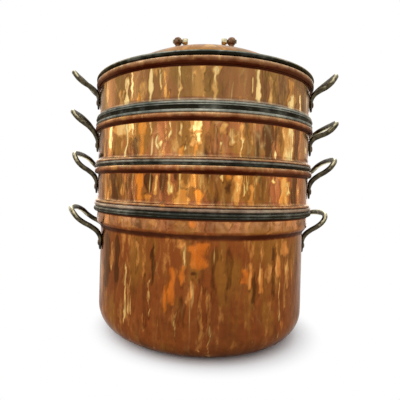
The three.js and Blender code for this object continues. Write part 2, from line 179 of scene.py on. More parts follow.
def stretch(tree, value, low, high, to_low=0.0, to_high=1.0, kind="LINEAR"):
    """A Map Range node: low..high becomes to_low..to_high, and what is outside is clamped."""
    made = node(tree, "ShaderNodeMapRange", interpolation_type=kind)
    for socket, number in zip(made.inputs, (value, low, high, to_low, to_high)):
        wire(tree, socket, number)
    return made.outputs[0]


print("helpers:", [helper.__name__ for helper in (node, wire, maths, times, plus, blend, stretch)])

# %% [markdown]
# ## Patterns, stored values and colours
# A finish needs three sources: noise for what is uneven, the values that numpy will store at each point,
# and plain colours. `noise` always reads Object coordinates, so that a pattern stays on the metal when a
# tier is lifted. Colours are written as one sees them on a screen and turned into linear values.

# %% Patterns and colours
def noise(tree, scale, detail=4.0, roughness=0.55, distortion=0.0, upright=1.0):
    """A noise texture. An upright below 1 draws its spots out along Z, to 1 / upright of their width."""
    mapping = node(tree, "ShaderNodeMapping")
    wire(tree, mapping.inputs["Vector"], node(tree, "ShaderNodeTexCoord").outputs["Object"])
    wire(tree, mapping.inputs["Scale"], (1, 1, upright))
    made = node(tree, "ShaderNodeTexNoise")
    wire(tree, made.inputs["Vector"], mapping.outputs[0])
    settings = {"Scale": scale, "Detail": detail, "Roughness": roughness, "Distortion": distortion}
    for label, number in settings.items():
        wire(tree, made.inputs[label], number)
    return made.outputs[0]


def attribute(tree, name):
    """A value that numpy stored at every point of the mesh."""
    return node(tree, "ShaderNodeAttribute", attribute_name=name).outputs["Fac"]


def rgb(red, green, blue):
    """A colour as seen on screen, 0 to 255, in the linear values that Blender works with."""
    screen = np.array([red, green, blue]) / 255
    linear = np.where(screen <= 0.04045, screen / 12.92, ((screen + 0.055) / 1.055) ** 2.4)
    return (*linear.tolist(), 1.0)


print("mid copper in linear values:", [round(v, 3) for v in rgb(150, 100, 57)])

# %% [markdown]
# ## Floor
# The photograph is a cut-out on white with a soft shadow. The floor could be a big white sheet, but its far
# edge would show against the room. So it is white paper only round the stack: further out, the camera and
# the reflections see the same plain white as that of the room.

# %% Floor
FLOOR_SIZE = 6.0
PAPER_WHITE = (0.93, 0.955, 0.98, 1)
SHADOW_MIDDLE = (0.01, 0.0, 0.0)
SHADOW_REACH = (0.14, 0.206)


def make_floor():
    """A flat square under the stack."""
    half = FLOOR_SIZE / 2
    corners = [(-half, -half, 0), (half, -half, 0), (half, half, 0), (-half, half, 0)]
    mesh = bpy.data.meshes.new("floor")
    mesh.from_pydata(corners, [], [(0, 1, 2, 3)])
    floor = bpy.data.objects.new("floor", mesh)
    bpy.context.scene.collection.objects.link(floor)
    floor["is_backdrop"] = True
    return floor


def direct_rays(tree):
    """1 for rays of the camera, of reflections and through glass, and 0 for all other light."""
    path = node(tree, "ShaderNodeLightPath").outputs
    first = maths(tree, "MAXIMUM", path["Is Camera Ray"], path["Is Glossy Ray"])
    return maths(tree, "MAXIMUM", first, path["Is Transmission Ray"])


def end_in_mix(tree, share, first, second, end):
    """Ends a tree with a mix of two shaders: first where share is 0, and second where it is 1."""
    mixed = node(tree, "ShaderNodeMixShader")
    for socket, source in zip(mixed.inputs, (share, first.outputs[0], second.outputs[0])):
        wire(tree, socket, source)
    wire(tree, node(tree, end).inputs[0], mixed.outputs[0])


def floor_finish():
    """White paper. Past the soft shadow, the camera and reflections see the plain white of the room, so
    that no edge shows, while the light that falls on the stack is still that of paper."""
    material = bpy.data.materials.new("white_paper")
    material.use_nodes = True
    tree = material.node_tree
    tree.nodes.clear()
    paper = node(tree, "ShaderNodeBsdfDiffuse")
    wire(tree, paper.inputs["Color"], PAPER_WHITE)
    distance = node(tree, "ShaderNodeVectorMath", operation="DISTANCE")
    wire(tree, distance.inputs[0], node(tree, "ShaderNodeTexCoord").outputs["Object"])
    wire(tree, distance.inputs[1], SHADOW_MIDDLE)
    far = stretch(tree, distance.outputs["Value"], *SHADOW_REACH, kind="SMOOTHSTEP")
    share = times(tree, far, direct_rays(tree))
    end_in_mix(tree, share, paper, node(tree, "ShaderNodeEmission"), "ShaderNodeOutputMaterial")
    return material


make_floor().data.materials.append(floor_finish())
print("floor", FLOOR_SIZE, "m across")

# %% [markdown]
# ## Room
# The room looks white to the camera and in the metal, but a room as bright as that would light all sides
# alike. So as a source of light it is dimmer, and the lamps still shape the metal.

# %% Room
ROOM_WHITE = (1, 1, 1, 1)
ROOM_LIGHT = 0.62


def make_room():
    """A white room to direct rays, and a dimmer one to all other light."""
    world = bpy.data.worlds.new("studio")
    bpy.context.scene.world = world
    world.use_nodes = True
    tree = world.node_tree
    tree.nodes.clear()
    seen, lit = (node(tree, "ShaderNodeBackground") for _ in range(2))
    for background, strength in ((seen, 1.0), (lit, ROOM_LIGHT)):
        wire(tree, background.inputs["Color"], ROOM_WHITE)
        wire(tree, background.inputs["Strength"], strength)
    end_in_mix(tree, direct_rays(tree), lit, seen, "ShaderNodeOutputWorld")


make_room()
print("the room's light:", ROOM_LIGHT, "of its white")

# %% [markdown]
# ## Lamps
# Polished metal has hardly any colour of its own: it shows what stands round it. A white room makes it
# even and dull, so a photographer stands tall narrow lamps round it, and each one draws a bright
# upright streak on a round wall. The streaks sit at half the lamp's angle, because a mirror turns the
# view by twice its own turn. A large soft lamp above lights the tops and drops the soft shadow.

# %% Lamps
STRIP_DISTANCE = 1.7
STRIP_HEIGHT = 2.0
STRIP_MIDDLE = 0.36 * STRIP_HEIGHT
# for each tall lamp: its bearing from the camera's side, in degrees, its width and its brightness
STRIPS = [(-112, 0.40, 1.5), (-70, 0.16, 1.6), (-36, 0.12, 1.7), (-4, 0.16, 1.7), (36, 0.09, 1.1),
          (78, 0.20, 1.0), (112, 0.12, 1.4), (150, 0.40, 1.6), (-150, 0.40, 1.6)]
TOP_PLACE = (-0.1, -0.2, 1.9)
TOP_SIZE = 1.5
TOP_BRIGHTNESS = 1.0


def soft_lamp(name, place, width, height, brightness):
    """A rectangular lamp that looks at the middle of the stack. Its power is pi * area * brightness."""
    data = bpy.data.lights.new(name, "AREA")
    data.shape = "RECTANGLE"
    data.size = width
    data.size_y = height
    data.energy = brightness * np.pi * width * height
    lamp = bpy.data.objects.new(name, data)
    lamp.location = place
    middle = (cad_low + cad_high) / 2
    lamp.rotation_euler = (middle - lamp.location).to_track_quat("-Z", "Y").to_euler()
    lamp.visible_camera = False
    bpy.context.scene.collection.objects.link(lamp)


for bearing, width, brightness in STRIPS:
    turn = np.radians(bearing)
    place = (STRIP_DISTANCE * np.sin(turn), -STRIP_DISTANCE * np.cos(turn), STRIP_MIDDLE)
    soft_lamp(f"strip_lamp_{bearing}", place, width, STRIP_HEIGHT, brightness)
soft_lamp("top_lamp", TOP_PLACE, TOP_SIZE, TOP_SIZE, TOP_BRIGHTNESS)
print("lamps:", len(STRIPS) + 1)

# %% [markdown]
# ## Surfaces of numbers
# Nearly every piece was turned, rolled or drawn out, so its surface is a grid of points: one direction
# runs along an outline and the other round the axis, or along a bar. Numpy works out the whole grid at
# once. Next to the three coordinates, each point carries a few values that the finishes read later: how
# much of it is tinned, how much tarnished and darkened by painted shade, how much rubbed bright and lit
# by a painted highlight, and which hammer blow made it.

# %% From a grid of points to a mesh
SAME_PLACE = 1e-7


def along_of(path):
    """Distance of each point from the path's start: the sum of the steps up to it."""
    return np.concatenate([[0], np.cumsum(np.linalg.norm(np.diff(path, axis=0), axis=1))])


def unit(vectors):
    """Vectors divided by their length."""
    return vectors / np.maximum(np.linalg.norm(vectors, axis=-1, keepdims=True), 1e-12)


def grid_faces(rows, columns, wrap_rows, wrap_columns):
    """Four corners for each cell of a grid, as an array of point numbers: row * columns + column."""
    row = np.arange(rows if wrap_rows else rows - 1)[:, None]
    column = np.arange(columns if wrap_columns else columns - 1)[None, :]
    next_row = (row + 1) % rows
    next_column = (column + 1) % columns
    corners = [row * columns + column, row * columns + next_column,
               next_row * columns + next_column, next_row * columns + column]
    shape = np.broadcast(row, column).shape
    return np.stack([np.broadcast_to(c, shape) for c in corners], axis=-1).reshape(-1, 4)


def outward(points, faces):
    """Turns all faces round if the volume that they enclose, a sum of a . (b x c), comes out negative."""
    a, b, c, d = (points[faces[:, i]] for i in range(4))
    volume = np.einsum("ij,ij->", a, np.cross(b, c)) + np.einsum("ij,ij->", a, np.cross(c, d))
    return faces if volume > 0 else faces[:, ::-1]


def add_mesh(name, points, faces, fields, smooth=True):
    """Makes the object. Points that share a place, as at a pole, become one point first."""
    _, first, number = np.unique(np.round(points / SAME_PLACE).astype(np.int64), axis=0,
                                 return_index=True, return_inverse=True)
    faces = number.ravel()[faces]
    follows = np.roll(faces, -1, axis=1)
    corners = [face[keep].tolist() for face, keep in zip(faces, faces != follows)] \
        if (faces == follows).any() else faces.tolist()
    mesh = bpy.data.meshes.new(name)
    mesh.from_pydata(points[first].tolist(), [], corners)
    for key, values in fields.items():
        layer = mesh.attributes.new(key, "FLOAT", "POINT")
        layer.data.foreach_set("value", values[first].astype(np.float32))
    mesh.polygons.foreach_set("use_smooth", np.full(len(mesh.polygons), smooth))
    mesh.update()
    made = bpy.data.objects.new(name, mesh)
    bpy.context.scene.collection.objects.link(made)
    return made


print("a ring of 3 by 8 points has", len(grid_faces(3, 8, False, True)), "faces")

# %% [markdown]
# ## Outlines
# A turned vessel is its outline carried round the axis. The outline is written as a chain of straight
# and round stretches, each with its finish: `tin` for the grey tinned parts, a value for tarnish in
# corners that no cloth reaches and for painted shade in creases and undersides, a value for edges that
# every cloth rubs and for painted highlights, and `beaten` where the hammer left its marks.

# %% Outline stretches
FIELDS = ("tin", "tarnish", "polish", "beaten")


def stretch_of(points, tin=0.0, tarnish=0.0, polish=0.0, beaten=0.0):
    """Outline points with their finish. A pair (a, b) lets a value run evenly from a to b."""
    points = np.atleast_2d(np.array(points, float))
    share = np.linspace(0, 1, len(points))
    values = [np.interp(share, [0, 1], np.broadcast_to(v, 2)) for v in (tin, tarnish, polish, beaten)]
    return np.column_stack([points, *values])


def straight(start, end, steps, **finish):
    """Points on a straight line, both ends included: start * (1 - t) + end * t."""
    share = np.linspace(0, 1, steps + 1)[:, None]
    return stretch_of(np.array(start) * (1 - share) + np.array(end) * share, **finish)


def bow(centre, radii, start, end, steps, **finish):
    """Points on part of an ellipse, centre + radii * (cos a, sin a), with the angle a from start to end in
    degrees, 0 outwards and 90 upwards."""
    angle = np.radians(np.linspace(start, end, steps + 1))
    points = np.column_stack([centre[0] + radii[0] * np.cos(angle), centre[1] + radii[1] * np.sin(angle)])
    return stretch_of(points, **finish)


print("values at each outline point:", FIELDS)

# %% [markdown]
# ## Hammer marks
# Beating planishes the sheet: each blow leaves a shallow bowl, and where two bowls meet there is a faint
# ridge. Every point looks at the nearest blows, and the lowest bowl wins, which gives both the bowls and
# the ridges. The blows sit in cells as wide and tall as one mark, moved about at random inside them. A
# gentle wave bends the columns of marks, because no smith keeps them straight.

# %% Hammer marks
CHANCE_ROWS = 64
# the waves that bend the columns: size as a share of a mark's width, waves up and waves round the sheet
COLUMN_WAVES = [(0.22, 4.1, 9), (0.12, 9.7, 31)]
SCATTER_ACROSS = 0.8
SCATTER_UP = 0.7
STAGGER = 0.5
DEPTH_SPREAD = 0.25
RIDGE_WIDTH = 0.10


def hammer_marks(across, up, wide, tall, columns, flatness, seed):
    """Depth, blow number and ridge at each point. The depth is the lowest of the nearby bowls
    du^2 / 2r + dv^2 / 2r' - a random part, and the ridge is 1 where the two lowest are alike.

    across and up are places on the sheet. columns is how many cells go once round it, so that the
    pattern closes. flatness is the bowls' radius across and up."""
    chance = np.random.default_rng(seed).random((4, columns, CHANCE_ROWS))
    turns = across / (columns * wide) * 2 * np.pi
    across = across + wide * sum(size * np.sin(up / tall * rise + round_it * turns)
                                 for size, rise, round_it in COLUMN_WAVES)
    cell_u = np.floor(across / wide).astype(int)
    cell_v = np.floor(up / tall).astype(int)
    bowl_depth = wide ** 2 / (2 * flatness[0])
    lowest = np.full(np.broadcast(across, up).shape, 1.0)
    second = lowest.copy()
    blow = np.zeros_like(lowest)
    for step_u in (-1, 0, 1):
        for step_v in (-1, 0, 1):
            u, v = cell_u + step_u, cell_v + step_v
            here = chance[:, u % columns, v % CHANCE_ROWS]
            du = across - (u + 0.5 + SCATTER_ACROSS * (here[0] - 0.5)) * wide
            dv = up - (v + 0.5 + STAGGER * (u % 2 - 0.5) + SCATTER_UP * (here[1] - 0.5)) * tall
            deep = DEPTH_SPREAD * bowl_depth * here[2]
            bowl = du ** 2 / (2 * flatness[0]) + dv ** 2 / (2 * flatness[1]) - deep
            blow = np.where(bowl < lowest, here[3], blow)
            second = np.minimum(second, np.maximum(bowl, lowest))
            lowest = np.minimum(bowl, lowest)
    ridge = np.exp(-(second - lowest) / (RIDGE_WIDTH * bowl_depth))
    return lowest, blow, ridge


print("columns of blows are bent by", [size for size, *_ in COLUMN_WAVES], "of a mark's width")

# %% [markdown]
# ## Worn panels and painted reflections
# No two parts of such a wall shine alike. Its upright panels paint the wall's reflections and highlights
# into its colour along with its uneven tone: dull brown ones stand for dark reflections, warm, gold and
# orange ones for warm reflections, and thin bright lines are painted highlights. Those in front are
# listed by the picture's columns, because the camera says which bearing on the wall each column shows.
# The others come from chance.

# %% Which panels a wall has
# tone and glow of each kind: tone -1 is dull brown, 0 plain copper, 0.5 warm and 1 bright; glow is orange
# the kinds paint reflections along with tone: dull and brown stand for dark reflections, warm, gold and
# orange for warm ones, and bright and pale are painted highlights
KINDS = {"dull": (-1.0, 0.0), "brown": (-0.5, 0.0), "warm": (0.45, 0.0), "gold": (0.55, 0.55),
         "orange": (0.3, 1.0), "bright": (1.0, 0.0), "pale": (0.76, 0.0)}
PANELS_BEHIND = 46
SIDES_AND_BACK = (72, 288)
CHANCE_KINDS = {"dull": 0.2, "brown": 0.2, "warm": 0.14, "gold": 0.14, "orange": 0.1, "bright": 0.22}
CHANCE_HALVES = [1.2 * MM, 2.0 * MM, 3.5 * MM, 6.0 * MM]
LINE_HALF = 1.3 * MM
OVERRUN = 0.3


def bearing_at(column, radius, height):
    """The bearing from the front, positive to the right, that a column of the picture shows on a wall:
    a point at bearing b is seen at the angle whose tangent is r sin b / (distance - r cos b), from the
    line to the stack's axis, and the camera looks past that line by its yaw. Its roll moves what is
    below the eye to the left."""
    bearing = np.radians(np.arange(-70, 71))
    away = EYE_DISTANCE - radius * np.cos(bearing)
    columns = LENS_PIXEL[0] + FOCAL_PIXELS * np.tan(np.arctan2(radius * np.sin(bearing), away) + YAW)
    below = FOCAL_PIXELS * (EYE_HEIGHT - height) / away
    return np.interp(column, columns - below * np.tan(ROLL), bearing)


def chance_panels(chance, spans):
    """Panels for the sides and the back, as (middle, half width, low, high, kind). Low and high are shares
    of the wall's height, drawn from spans."""
    panels = []
    for _ in range(PANELS_BEHIND if spans else 0):
        middle = np.radians(chance.uniform(*SIDES_AND_BACK))
        half = chance.choice(CHANCE_HALVES)
        low, high = chance.choice(spans)
        kind = list(CHANCE_KINDS)[chance.choice(len(CHANCE_KINDS), p=list(CHANCE_KINDS.values()))]
        panels.append((middle, LINE_HALF if kind == "bright" else half, low, high, kind))
    return panels


def seen_panels(wear_and_reflections):
    """The listed panels: (left column, right column, low, high, kind), in the same form. One that
    reaches the foot or the rim runs on past it, so that its round end is cut off."""
    radius = wear_and_reflections["radius"]
    panels = []
    for left, right, low, high, kind in wear_and_reflections["listed"]:
        height = wear_and_reflections["low"] + (low + high) / 2 * (wear_and_reflections["high"] - wear_and_reflections["low"])
        start, end = bearing_at(left, radius, height), bearing_at(right, radius, height)
        low, high = low - OVERRUN * (low <= 0), high + OVERRUN * (high == 1)
        panels.append(((start + end) / 2, (end - start) / 2 * radius, low, high, kind))
    return panels


print("the picture's middle shows bearing", round(np.degrees(bearing_at(200, WALL_RADIUS, EYE_HEIGHT)), 2))

# %% [markdown]
# ## How a panel lies on the wall
# A panel is an upright oval, cut off where it runs past the foot or the rim. Clean edges would look
# painted on, so smooth noise moves the sheet's places about before a panel is laid there, and each kind
# has its own soft edge. A thin dark line is painted along its sides, the dark edge of a painted
# reflection.

# %% Laying the panels
CHANCE_HEIGHTS = 96
# the noise that moves places: its size, its cells round the wall and the height of a cell
SIDE_SLIPS = [(2.4 * MM, 130, 15 * MM), (1.3 * MM, 260, 6 * MM)]
UP_SLIP = (5 * MM, 150, 11 * MM)
PANEL_EDGE = 4.5 * MM
GLOW_EDGE = 8 * MM
LINE_EDGE = 1.2 * MM
FADE_LENGTH = 12 * MM
DARK_REFLECTION_EDGE_WIDTH = 1.5 * MM


def lattice_noise(turns, up, cells, tall, chance):
    """Smooth noise from -1 to 1: random numbers on a lattice that closes round the wall, with the four
    corners of each cell blended by the smooth step 3t^2 - 2t^3."""
    table = chance.uniform(-1, 1, (cells, CHANCE_HEIGHTS))
    u, v = np.broadcast_arrays(turns * cells, up / tall)
    cell_u, cell_v = np.floor(u).astype(int), np.floor(v).astype(int)
    share_u, share_v = [t * t * (3 - 2 * t) for t in (u - cell_u, v - cell_v)]
    rows = [table[cell_u % cells, (cell_v + n) % CHANCE_HEIGHTS] * (1 - share_u)
            + table[(cell_u + 1) % cells, (cell_v + n) % CHANCE_HEIGHTS] * share_u for n in (0, 1)]
    return rows[0] * (1 - share_v) + rows[1] * share_v


def edge_of(kind, half):
    """How softly a panel of that kind and half width ends."""
    if kind == "bright":
        return LINE_EDGE
    return min(GLOW_EDGE if kind == "orange" else PANEL_EDGE, 1.4 * half)


def wear_and_reflection_panels(bearing, height, wear_and_reflections):
    """Tone, glow and the dark edge line of the panels at each point, which paint the wall's reflections and
    highlights along with its uneven tone. Noise bends the sheet's places first, so that no edge is
    straight. With v from -1 at a panel's foot to 1 at its top, its half width is
    half * (1 - v^4) ^ 0.5 * (0.85 + 0.22 sin(5v + phase)). Later panels lie over earlier ones."""
    chance = np.random.default_rng(wear_and_reflections["seed"])
    radius, tall = wear_and_reflections["radius"], wear_and_reflections["high"] - wear_and_reflections["low"]
    turns, up = bearing / (2 * np.pi), height - wear_and_reflections["low"]
    slips = [size * lattice_noise(turns, up, cells, cell_height, chance)
             for size, cells, cell_height in (*SIDE_SLIPS, UP_SLIP)]
    slip = slips[0] + slips[1]
    share = (up + slips[2]) / tall
    tone = np.zeros(slip.shape)
    glow, dark_reflection_edge = tone.copy(), tone.copy()
    for middle, half, low, high, kind in chance_panels(chance, wear_and_reflections["spans"]) + seen_panels(wear_and_reflections):
        v = (2 * share - low - high) / (high - low)
        phase = chance.uniform(0, 6.3)
        off = radius * ((bearing - middle + np.pi) % (2 * np.pi) - np.pi) + slip
        width = half * np.sqrt(np.clip(1 - v ** 4, 0, 1)) * (0.85 + 0.22 * np.sin(v * 5 + phase))
        ends = np.clip((1 - np.abs(v)) * (high - low) * tall / FADE_LENGTH, 0, 1)
        cover = np.clip((width - np.abs(off)) / edge_of(kind, half) + 0.5, 0, 1) * ends
        line = np.clip(1 - np.abs(np.abs(off) - width) / DARK_REFLECTION_EDGE_WIDTH, 0, 1) * (np.abs(v) < 1)
        tone = tone * (1 - cover) + KINDS[kind][0] * cover
        glow = glow * (1 - cover) + KINDS[kind][1] * cover
        dark_reflection_edge = np.maximum(dark_reflection_edge * (1 - cover), line)
    return tone, glow, dark_reflection_edge


print("a panel 10 mm wide ends over", round(edge_of("gold", 5 * MM) / MM, 1), "mm")

# %% [markdown]
# ## Turned pieces
# Every vessel, ring, rivet and post is turned: its outline is carried once round an axis. Blender's Screw
# or Spin could do that too, but the hammer marks need the points themselves, so numpy makes the grid. A
# finished piece is then handed to the frame: which body it rides on, and which solids it stands for.

# %% Turned pieces
BEATEN_COLUMNS = 800
PLAIN_COLUMNS = 360
WEAR_AND_REFLECTION_FIELDS = ("tone", "glow", "dark_reflection_edge")


def signed_area(outline):
    """Positive if the outline runs anticlockwise, with its metal on the left: half the sum of
    r * next z - next r * z."""
    r, z = outline[:, 0], outline[:, 1]
    return 0.5 * np.sum(r * np.roll(z, -1) - np.roll(r, -1) * z)


def turned(name, outline, closed=True, marks=None, wear_and_reflections=None, columns=PLAIN_COLUMNS, place=None):
    """Carries an outline of (r, z) once round an axis: x = r cos a, y = r sin a. The beaten part is pushed
    in along the outline's own normal by the depth of the hammer marks, and gets its panels of wear and
    painted reflections. place, if given, moves the finished points."""
    columns = BEATEN_COLUMNS if marks else columns
    radius, height, beaten = outline[:, :1], outline[:, 1:2], outline[:, 5:6]
    angle = np.linspace(0, 2 * np.pi, columns, endpoint=False)[None, :]
    fields = {key: np.repeat(outline[:, 2 + i], columns) for i, key in enumerate(FIELDS)}
    blow = np.full((len(outline), columns), 0.5)
    ridge = np.zeros((len(outline), columns))
    if marks:
        along = along_of(outline[:, :2])[:, None]
        ahead = unit(np.gradient(outline[:, :2], axis=0))
        normal = np.column_stack([ahead[:, 1], -ahead[:, 0]])
        cells = int(round(2 * np.pi * WALL_RADIUS / marks["wide"] / 2)) * 2
        across = angle / (2 * np.pi) * cells * marks["wide"]
        depth, blow, ridge = hammer_marks(across, along + 0 * angle, columns=cells, **marks)
        for key, panels in zip(WEAR_AND_REFLECTION_FIELDS, wear_and_reflection_panels(angle + np.pi / 2, height, wear_and_reflections)):
            fields[key] = (panels * (beaten > 0.5)).ravel()
        push = (depth - depth.mean()) * beaten * np.sign(signed_area(outline))
        radius = radius + normal[:, :1] * push
        height = height + normal[:, 1:] * push
    points = np.stack(np.broadcast_arrays(radius * np.cos(angle), radius * np.sin(angle), height), axis=-1)
    points = points.reshape(-1, 3)
    fields["blow"] = blow.ravel()
    fields["ridge"] = ridge.ravel()
    faces = outward(points, grid_faces(len(outline), columns, closed, True))
    return add_mesh(name, points if place is None else place(points), faces, fields)


def place_on(piece, body, nodes, material):
    """Rides the piece on its body, hides the CAD nodes that it stands for, and gives it its finish."""
    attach(piece, body)
    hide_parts(*nodes)
    piece.data.materials.append(material)
    print(piece.name, sum(len(face.vertices) - 2 for face in piece.data.polygons), "triangles")


print("points round a beaten piece:", BEATEN_COLUMNS, "and round a plain one:", PLAIN_COLUMNS)

# %% [markdown]
# ## Groups with named sockets
# An effect that several finishes share is a node group, so that it is built once and each finish only sets
# its values. Every group starts the same way, with its inputs and outputs by name.

# %% New groups
COLOUR, NUMBER = "NodeSocketColor", "NodeSocketFloat"
GREY = (0.5, 0.5, 0.5, 1)


def new_group(name, inputs, outputs):
    """An empty shader group with named sockets. inputs holds (name, kind, default). Returns the group, what
    comes into it and what goes out of it."""
    group = bpy.data.node_groups.new(name, "ShaderNodeTree")
    for label, kind, default in inputs:
        socket = group.interface.new_socket(label, in_out="INPUT", socket_type=kind)
        socket.default_value = default
    for label, kind in outputs:
        group.interface.new_socket(label, in_out="OUTPUT", socket_type=kind)
    return group, node(group, "NodeGroupInput").outputs, node(group, "NodeGroupOutput").inputs


print("kinds of socket:", COLOUR, NUMBER)

# %% [markdown]
# ## The tones of beaten copper
# The first group gives copper from dull to bright. Each point's tone is that of its panel, changed a
# little by the hammer blow and by clouds, and it picks the colour in steps. These steps paint the wall's
# reflections and highlights along with its uneven films of oxide, so their edges are broken up and never
# fade evenly.

# %% Beaten copper as a group
TONES = ("Copper", "Rosy", "Warm", "Dull", "Bright", "Glow", "Rubbed_and_highlight")
STRENGTHS = ("Blows", "Clouds", "Streaks", "Ridges")
# where each colour starts to show on the scale of tones, and where it covers all
TONE_STEPS = [("Dull", -0.2, -0.75), ("Warm", 0.18, 0.5), ("Bright", 0.62, 0.92)]


def painted_highlight_lines(group, given):
    """Painted highlights on some ridges between blows and on short upright streaks: the larger of the two."""
    patchy = stretch(group, noise(group, scale=40, detail=2, upright=0.3), 0.42, 0.62)
    ridges = times(group, times(group, attribute(group, "ridge"), patchy), given["Ridges"])
    wavy = noise(group, scale=80, detail=2, roughness=0.5, distortion=0.25, upright=0.09)
    streaks = stretch(group, plus(group, wavy, times(group, given["Streaks"], 0.3)), 0.74, 0.80)
    return maths(group, "MAXIMUM", ridges, times(group, streaks, 0.8))


def copper_group():
    """Copper from dull to bright, with painted reflections and highlights. Rosy patches lie under the tones,
    smears break up the panels' edges, the glow turns it orange as a painted warm reflection, rubbed edges
    and painted highlights have a paler copper of their own, and painted dark lines mark the panels' edges."""
    inputs = [(tone, COLOUR, GREY) for tone in TONES] + [(name, NUMBER, 0.5) for name in STRENGTHS]
    group, given, result = new_group("beaten_copper", inputs, [("Color", COLOUR), ("Roughness", NUMBER)])
    blow = times(group, plus(group, attribute(group, "blow"), -0.5), given["Blows"])
    cloud = stretch(group, noise(group, scale=24, detail=3, upright=0.2), 0.25, 0.75, -0.5, 0.5)
    cloud = times(group, cloud, given["Clouds"])
    smear = noise(group, scale=75, detail=6, roughness=0.62, upright=0.35)
    smear = stretch(group, smear, 0.32, 0.68, -0.4, 0.4)
    tone = plus(group, plus(group, attribute(group, "tone"), blow), plus(group, cloud, smear))
    rosy = noise(group, scale=26, detail=4, roughness=0.6, upright=0.4)
    rosy = plus(group, rosy, times(group, attribute(group, "tarnish"), 0.35))
    colour = blend(group, stretch(group, rosy, 0.48, 0.58, 0.0, 0.85), given["Copper"], given["Rosy"])
    for name, start, full in TONE_STEPS:
        colour = blend(group, stretch(group, tone, start, full), colour, given[name])
    glow = plus(group, attribute(group, "glow"), times(group, smear, 1.1))
    colour = blend(group, stretch(group, glow, 0.25, 1.0, 0.0, 0.85), colour, given["Glow"])
    colour = blend(group, times(group, painted_highlight_lines(group, given), 0.8), colour, given["Bright"])
    worn = stretch(group, noise(group, scale=12, detail=3), 0.38, 0.6, 0.45, 1.0)
    mottles = stretch(group, noise(group, scale=95, detail=4, roughness=0.6), 0.4, 0.58, 0.35, 1.0)
    rubbed = times(group, times(group, worn, mottles), attribute(group, "polish"))
    colour = blend(group, rubbed, colour, given["Rubbed_and_highlight"])
    dark_reflection_edge = times(group, attribute(group, "dark_reflection_edge"), stretch(group, smear, -0.15, 0.15, 0.15, 0.6))
    brushed = stretch(group, noise(group, scale=160, detail=3, upright=0.08), 0.3, 0.7, 0.94, 1.06)
    shaded = node(group, "ShaderNodeVectorMath", operation="SCALE")
    wire(group, shaded.inputs[0], colour)
    wire(group, shaded.inputs["Scale"], times(group, brushed, maths(group, "SUBTRACT", 1.0, dark_reflection_edge)))
    wire(group, result["Color"], shaded.outputs[0])
    smudges = noise(group, scale=28, detail=5, upright=0.5)
    wire(group, result["Roughness"], stretch(group, smudges, 0.3, 0.8, 0.14, 0.32))
    return group


COPPER_GROUP = copper_group()
print("nodes in the copper group:", len(COPPER_GROUP.nodes))

# %% [markdown]
# ## Tinning, dirt and painted shade, and grain
# Three smaller groups: old grey tinning, the dirt that stays where no cloth reaches together with painted
# shade in creases and undersides, and the polishing scratches. All are noise with soft limits, because
# nothing on an old pot has an even edge.

# %% Tinning, dirt and painted shade, and grain as groups
def tinning_group():
    """Old tinning: grey with broad darker clouds and small specks."""
    group, given, result = new_group("old_tinning", [("Light", COLOUR, GREY), ("Dark", COLOUR, GREY)],
                                     [("Color", COLOUR), ("Roughness", NUMBER)])
    broad = noise(group, scale=12, detail=6, roughness=0.65)
    specks = noise(group, scale=150, detail=3, upright=1.5)
    clouds = stretch(group, plus(group, times(group, broad, 0.75), times(group, specks, 0.25)), 0.38, 0.62)
    wire(group, result["Color"], blend(group, clouds, given["Dark"], given["Light"]))
    wire(group, result["Roughness"], stretch(group, clouds, 0.0, 1.0, 0.42, 0.30))
    return group


def dirt_and_shade_group():
    """Dirt, tarnished copper and painted shade: the point's stored value for them, broken up by noise so that
    it has no straight edge.
    """
    group, given, result = new_group("tarnish_mask", [("Amount", NUMBER, 1.0)], [("Mask", NUMBER)])
    broken = stretch(group, noise(group, scale=90), 0.3, 0.7, -0.12, 0.12)
    broad = stretch(group, noise(group, scale=16, upright=0.7), 0.35, 0.65, -0.14, 0.14)
    inside = plus(group, attribute(group, "tarnish"), plus(group, broken, broad))
    wire(group, result["Mask"], times(group, stretch(group, inside, 0.12, 0.88), given["Amount"]))
    return group


def grain_group():
    """Fine polishing scratches and broad dents, as a height for a Bump node."""
    group, given, result = new_group("polish_grain", [("Depth", NUMBER, 1.0)], [("Height", NUMBER)])
    fine = noise(group, scale=700, detail=3, upright=0.25)
    broad = noise(group, scale=110, detail=2, upright=0.6)
    wire(group, result["Height"], times(group, plus(group, times(group, fine, 0.25), broad), given["Depth"]))
    return group


TINNING_GROUP = tinning_group()
DIRT_AND_SHADE_GROUP = dirt_and_shade_group()
GRAIN_GROUP = grain_group()
print("groups:", [group.name for group in bpy.data.node_groups])

# %% [markdown]
# ## How a metal is built
# All coppers share one build: copper tones, then tinning where the point says so, then tarnish and
# painted shade on top. Only the values differ. The roughness follows the same masks, so tinning is duller
# than copper, and tarnish and painted shade duller still. A Bump node adds the polishing scratches, which
# are too fine for the mesh.
# Metals turn paler where one looks along them. The edge tint keeps that in the metal's own colour.

# %% Copper, brass and iron
COPPER_EDGE = (0.74, 0.65, 0.58, 1)
PLAIN_EDGE = (0.8, 0.8, 0.8, 1)
LIGHT_TIN, DARK_TIN = rgb(170, 168, 152), rgb(78, 87, 82)
# dark colours of tarnish and of painted shade in creases and undersides
SOOTY_DIRT_AND_SHADE, RED_DIRT_AND_SHADE, TIN_DIRT_AND_SHADE = rgb(64, 21, 7), rgb(84, 44, 26), rgb(40, 37, 27)
GRAIN_STRENGTH = 0.25
GRAIN_DEPTH = 0.4 * MM


def use_group(tree, group, **values):
    """Places a group in a tree and sets its inputs by name. Returns its outputs."""
    made = node(tree, "ShaderNodeGroup", node_tree=group)
    for key, value in values.items():
        wire(tree, made.inputs[key], value)
    return made.outputs


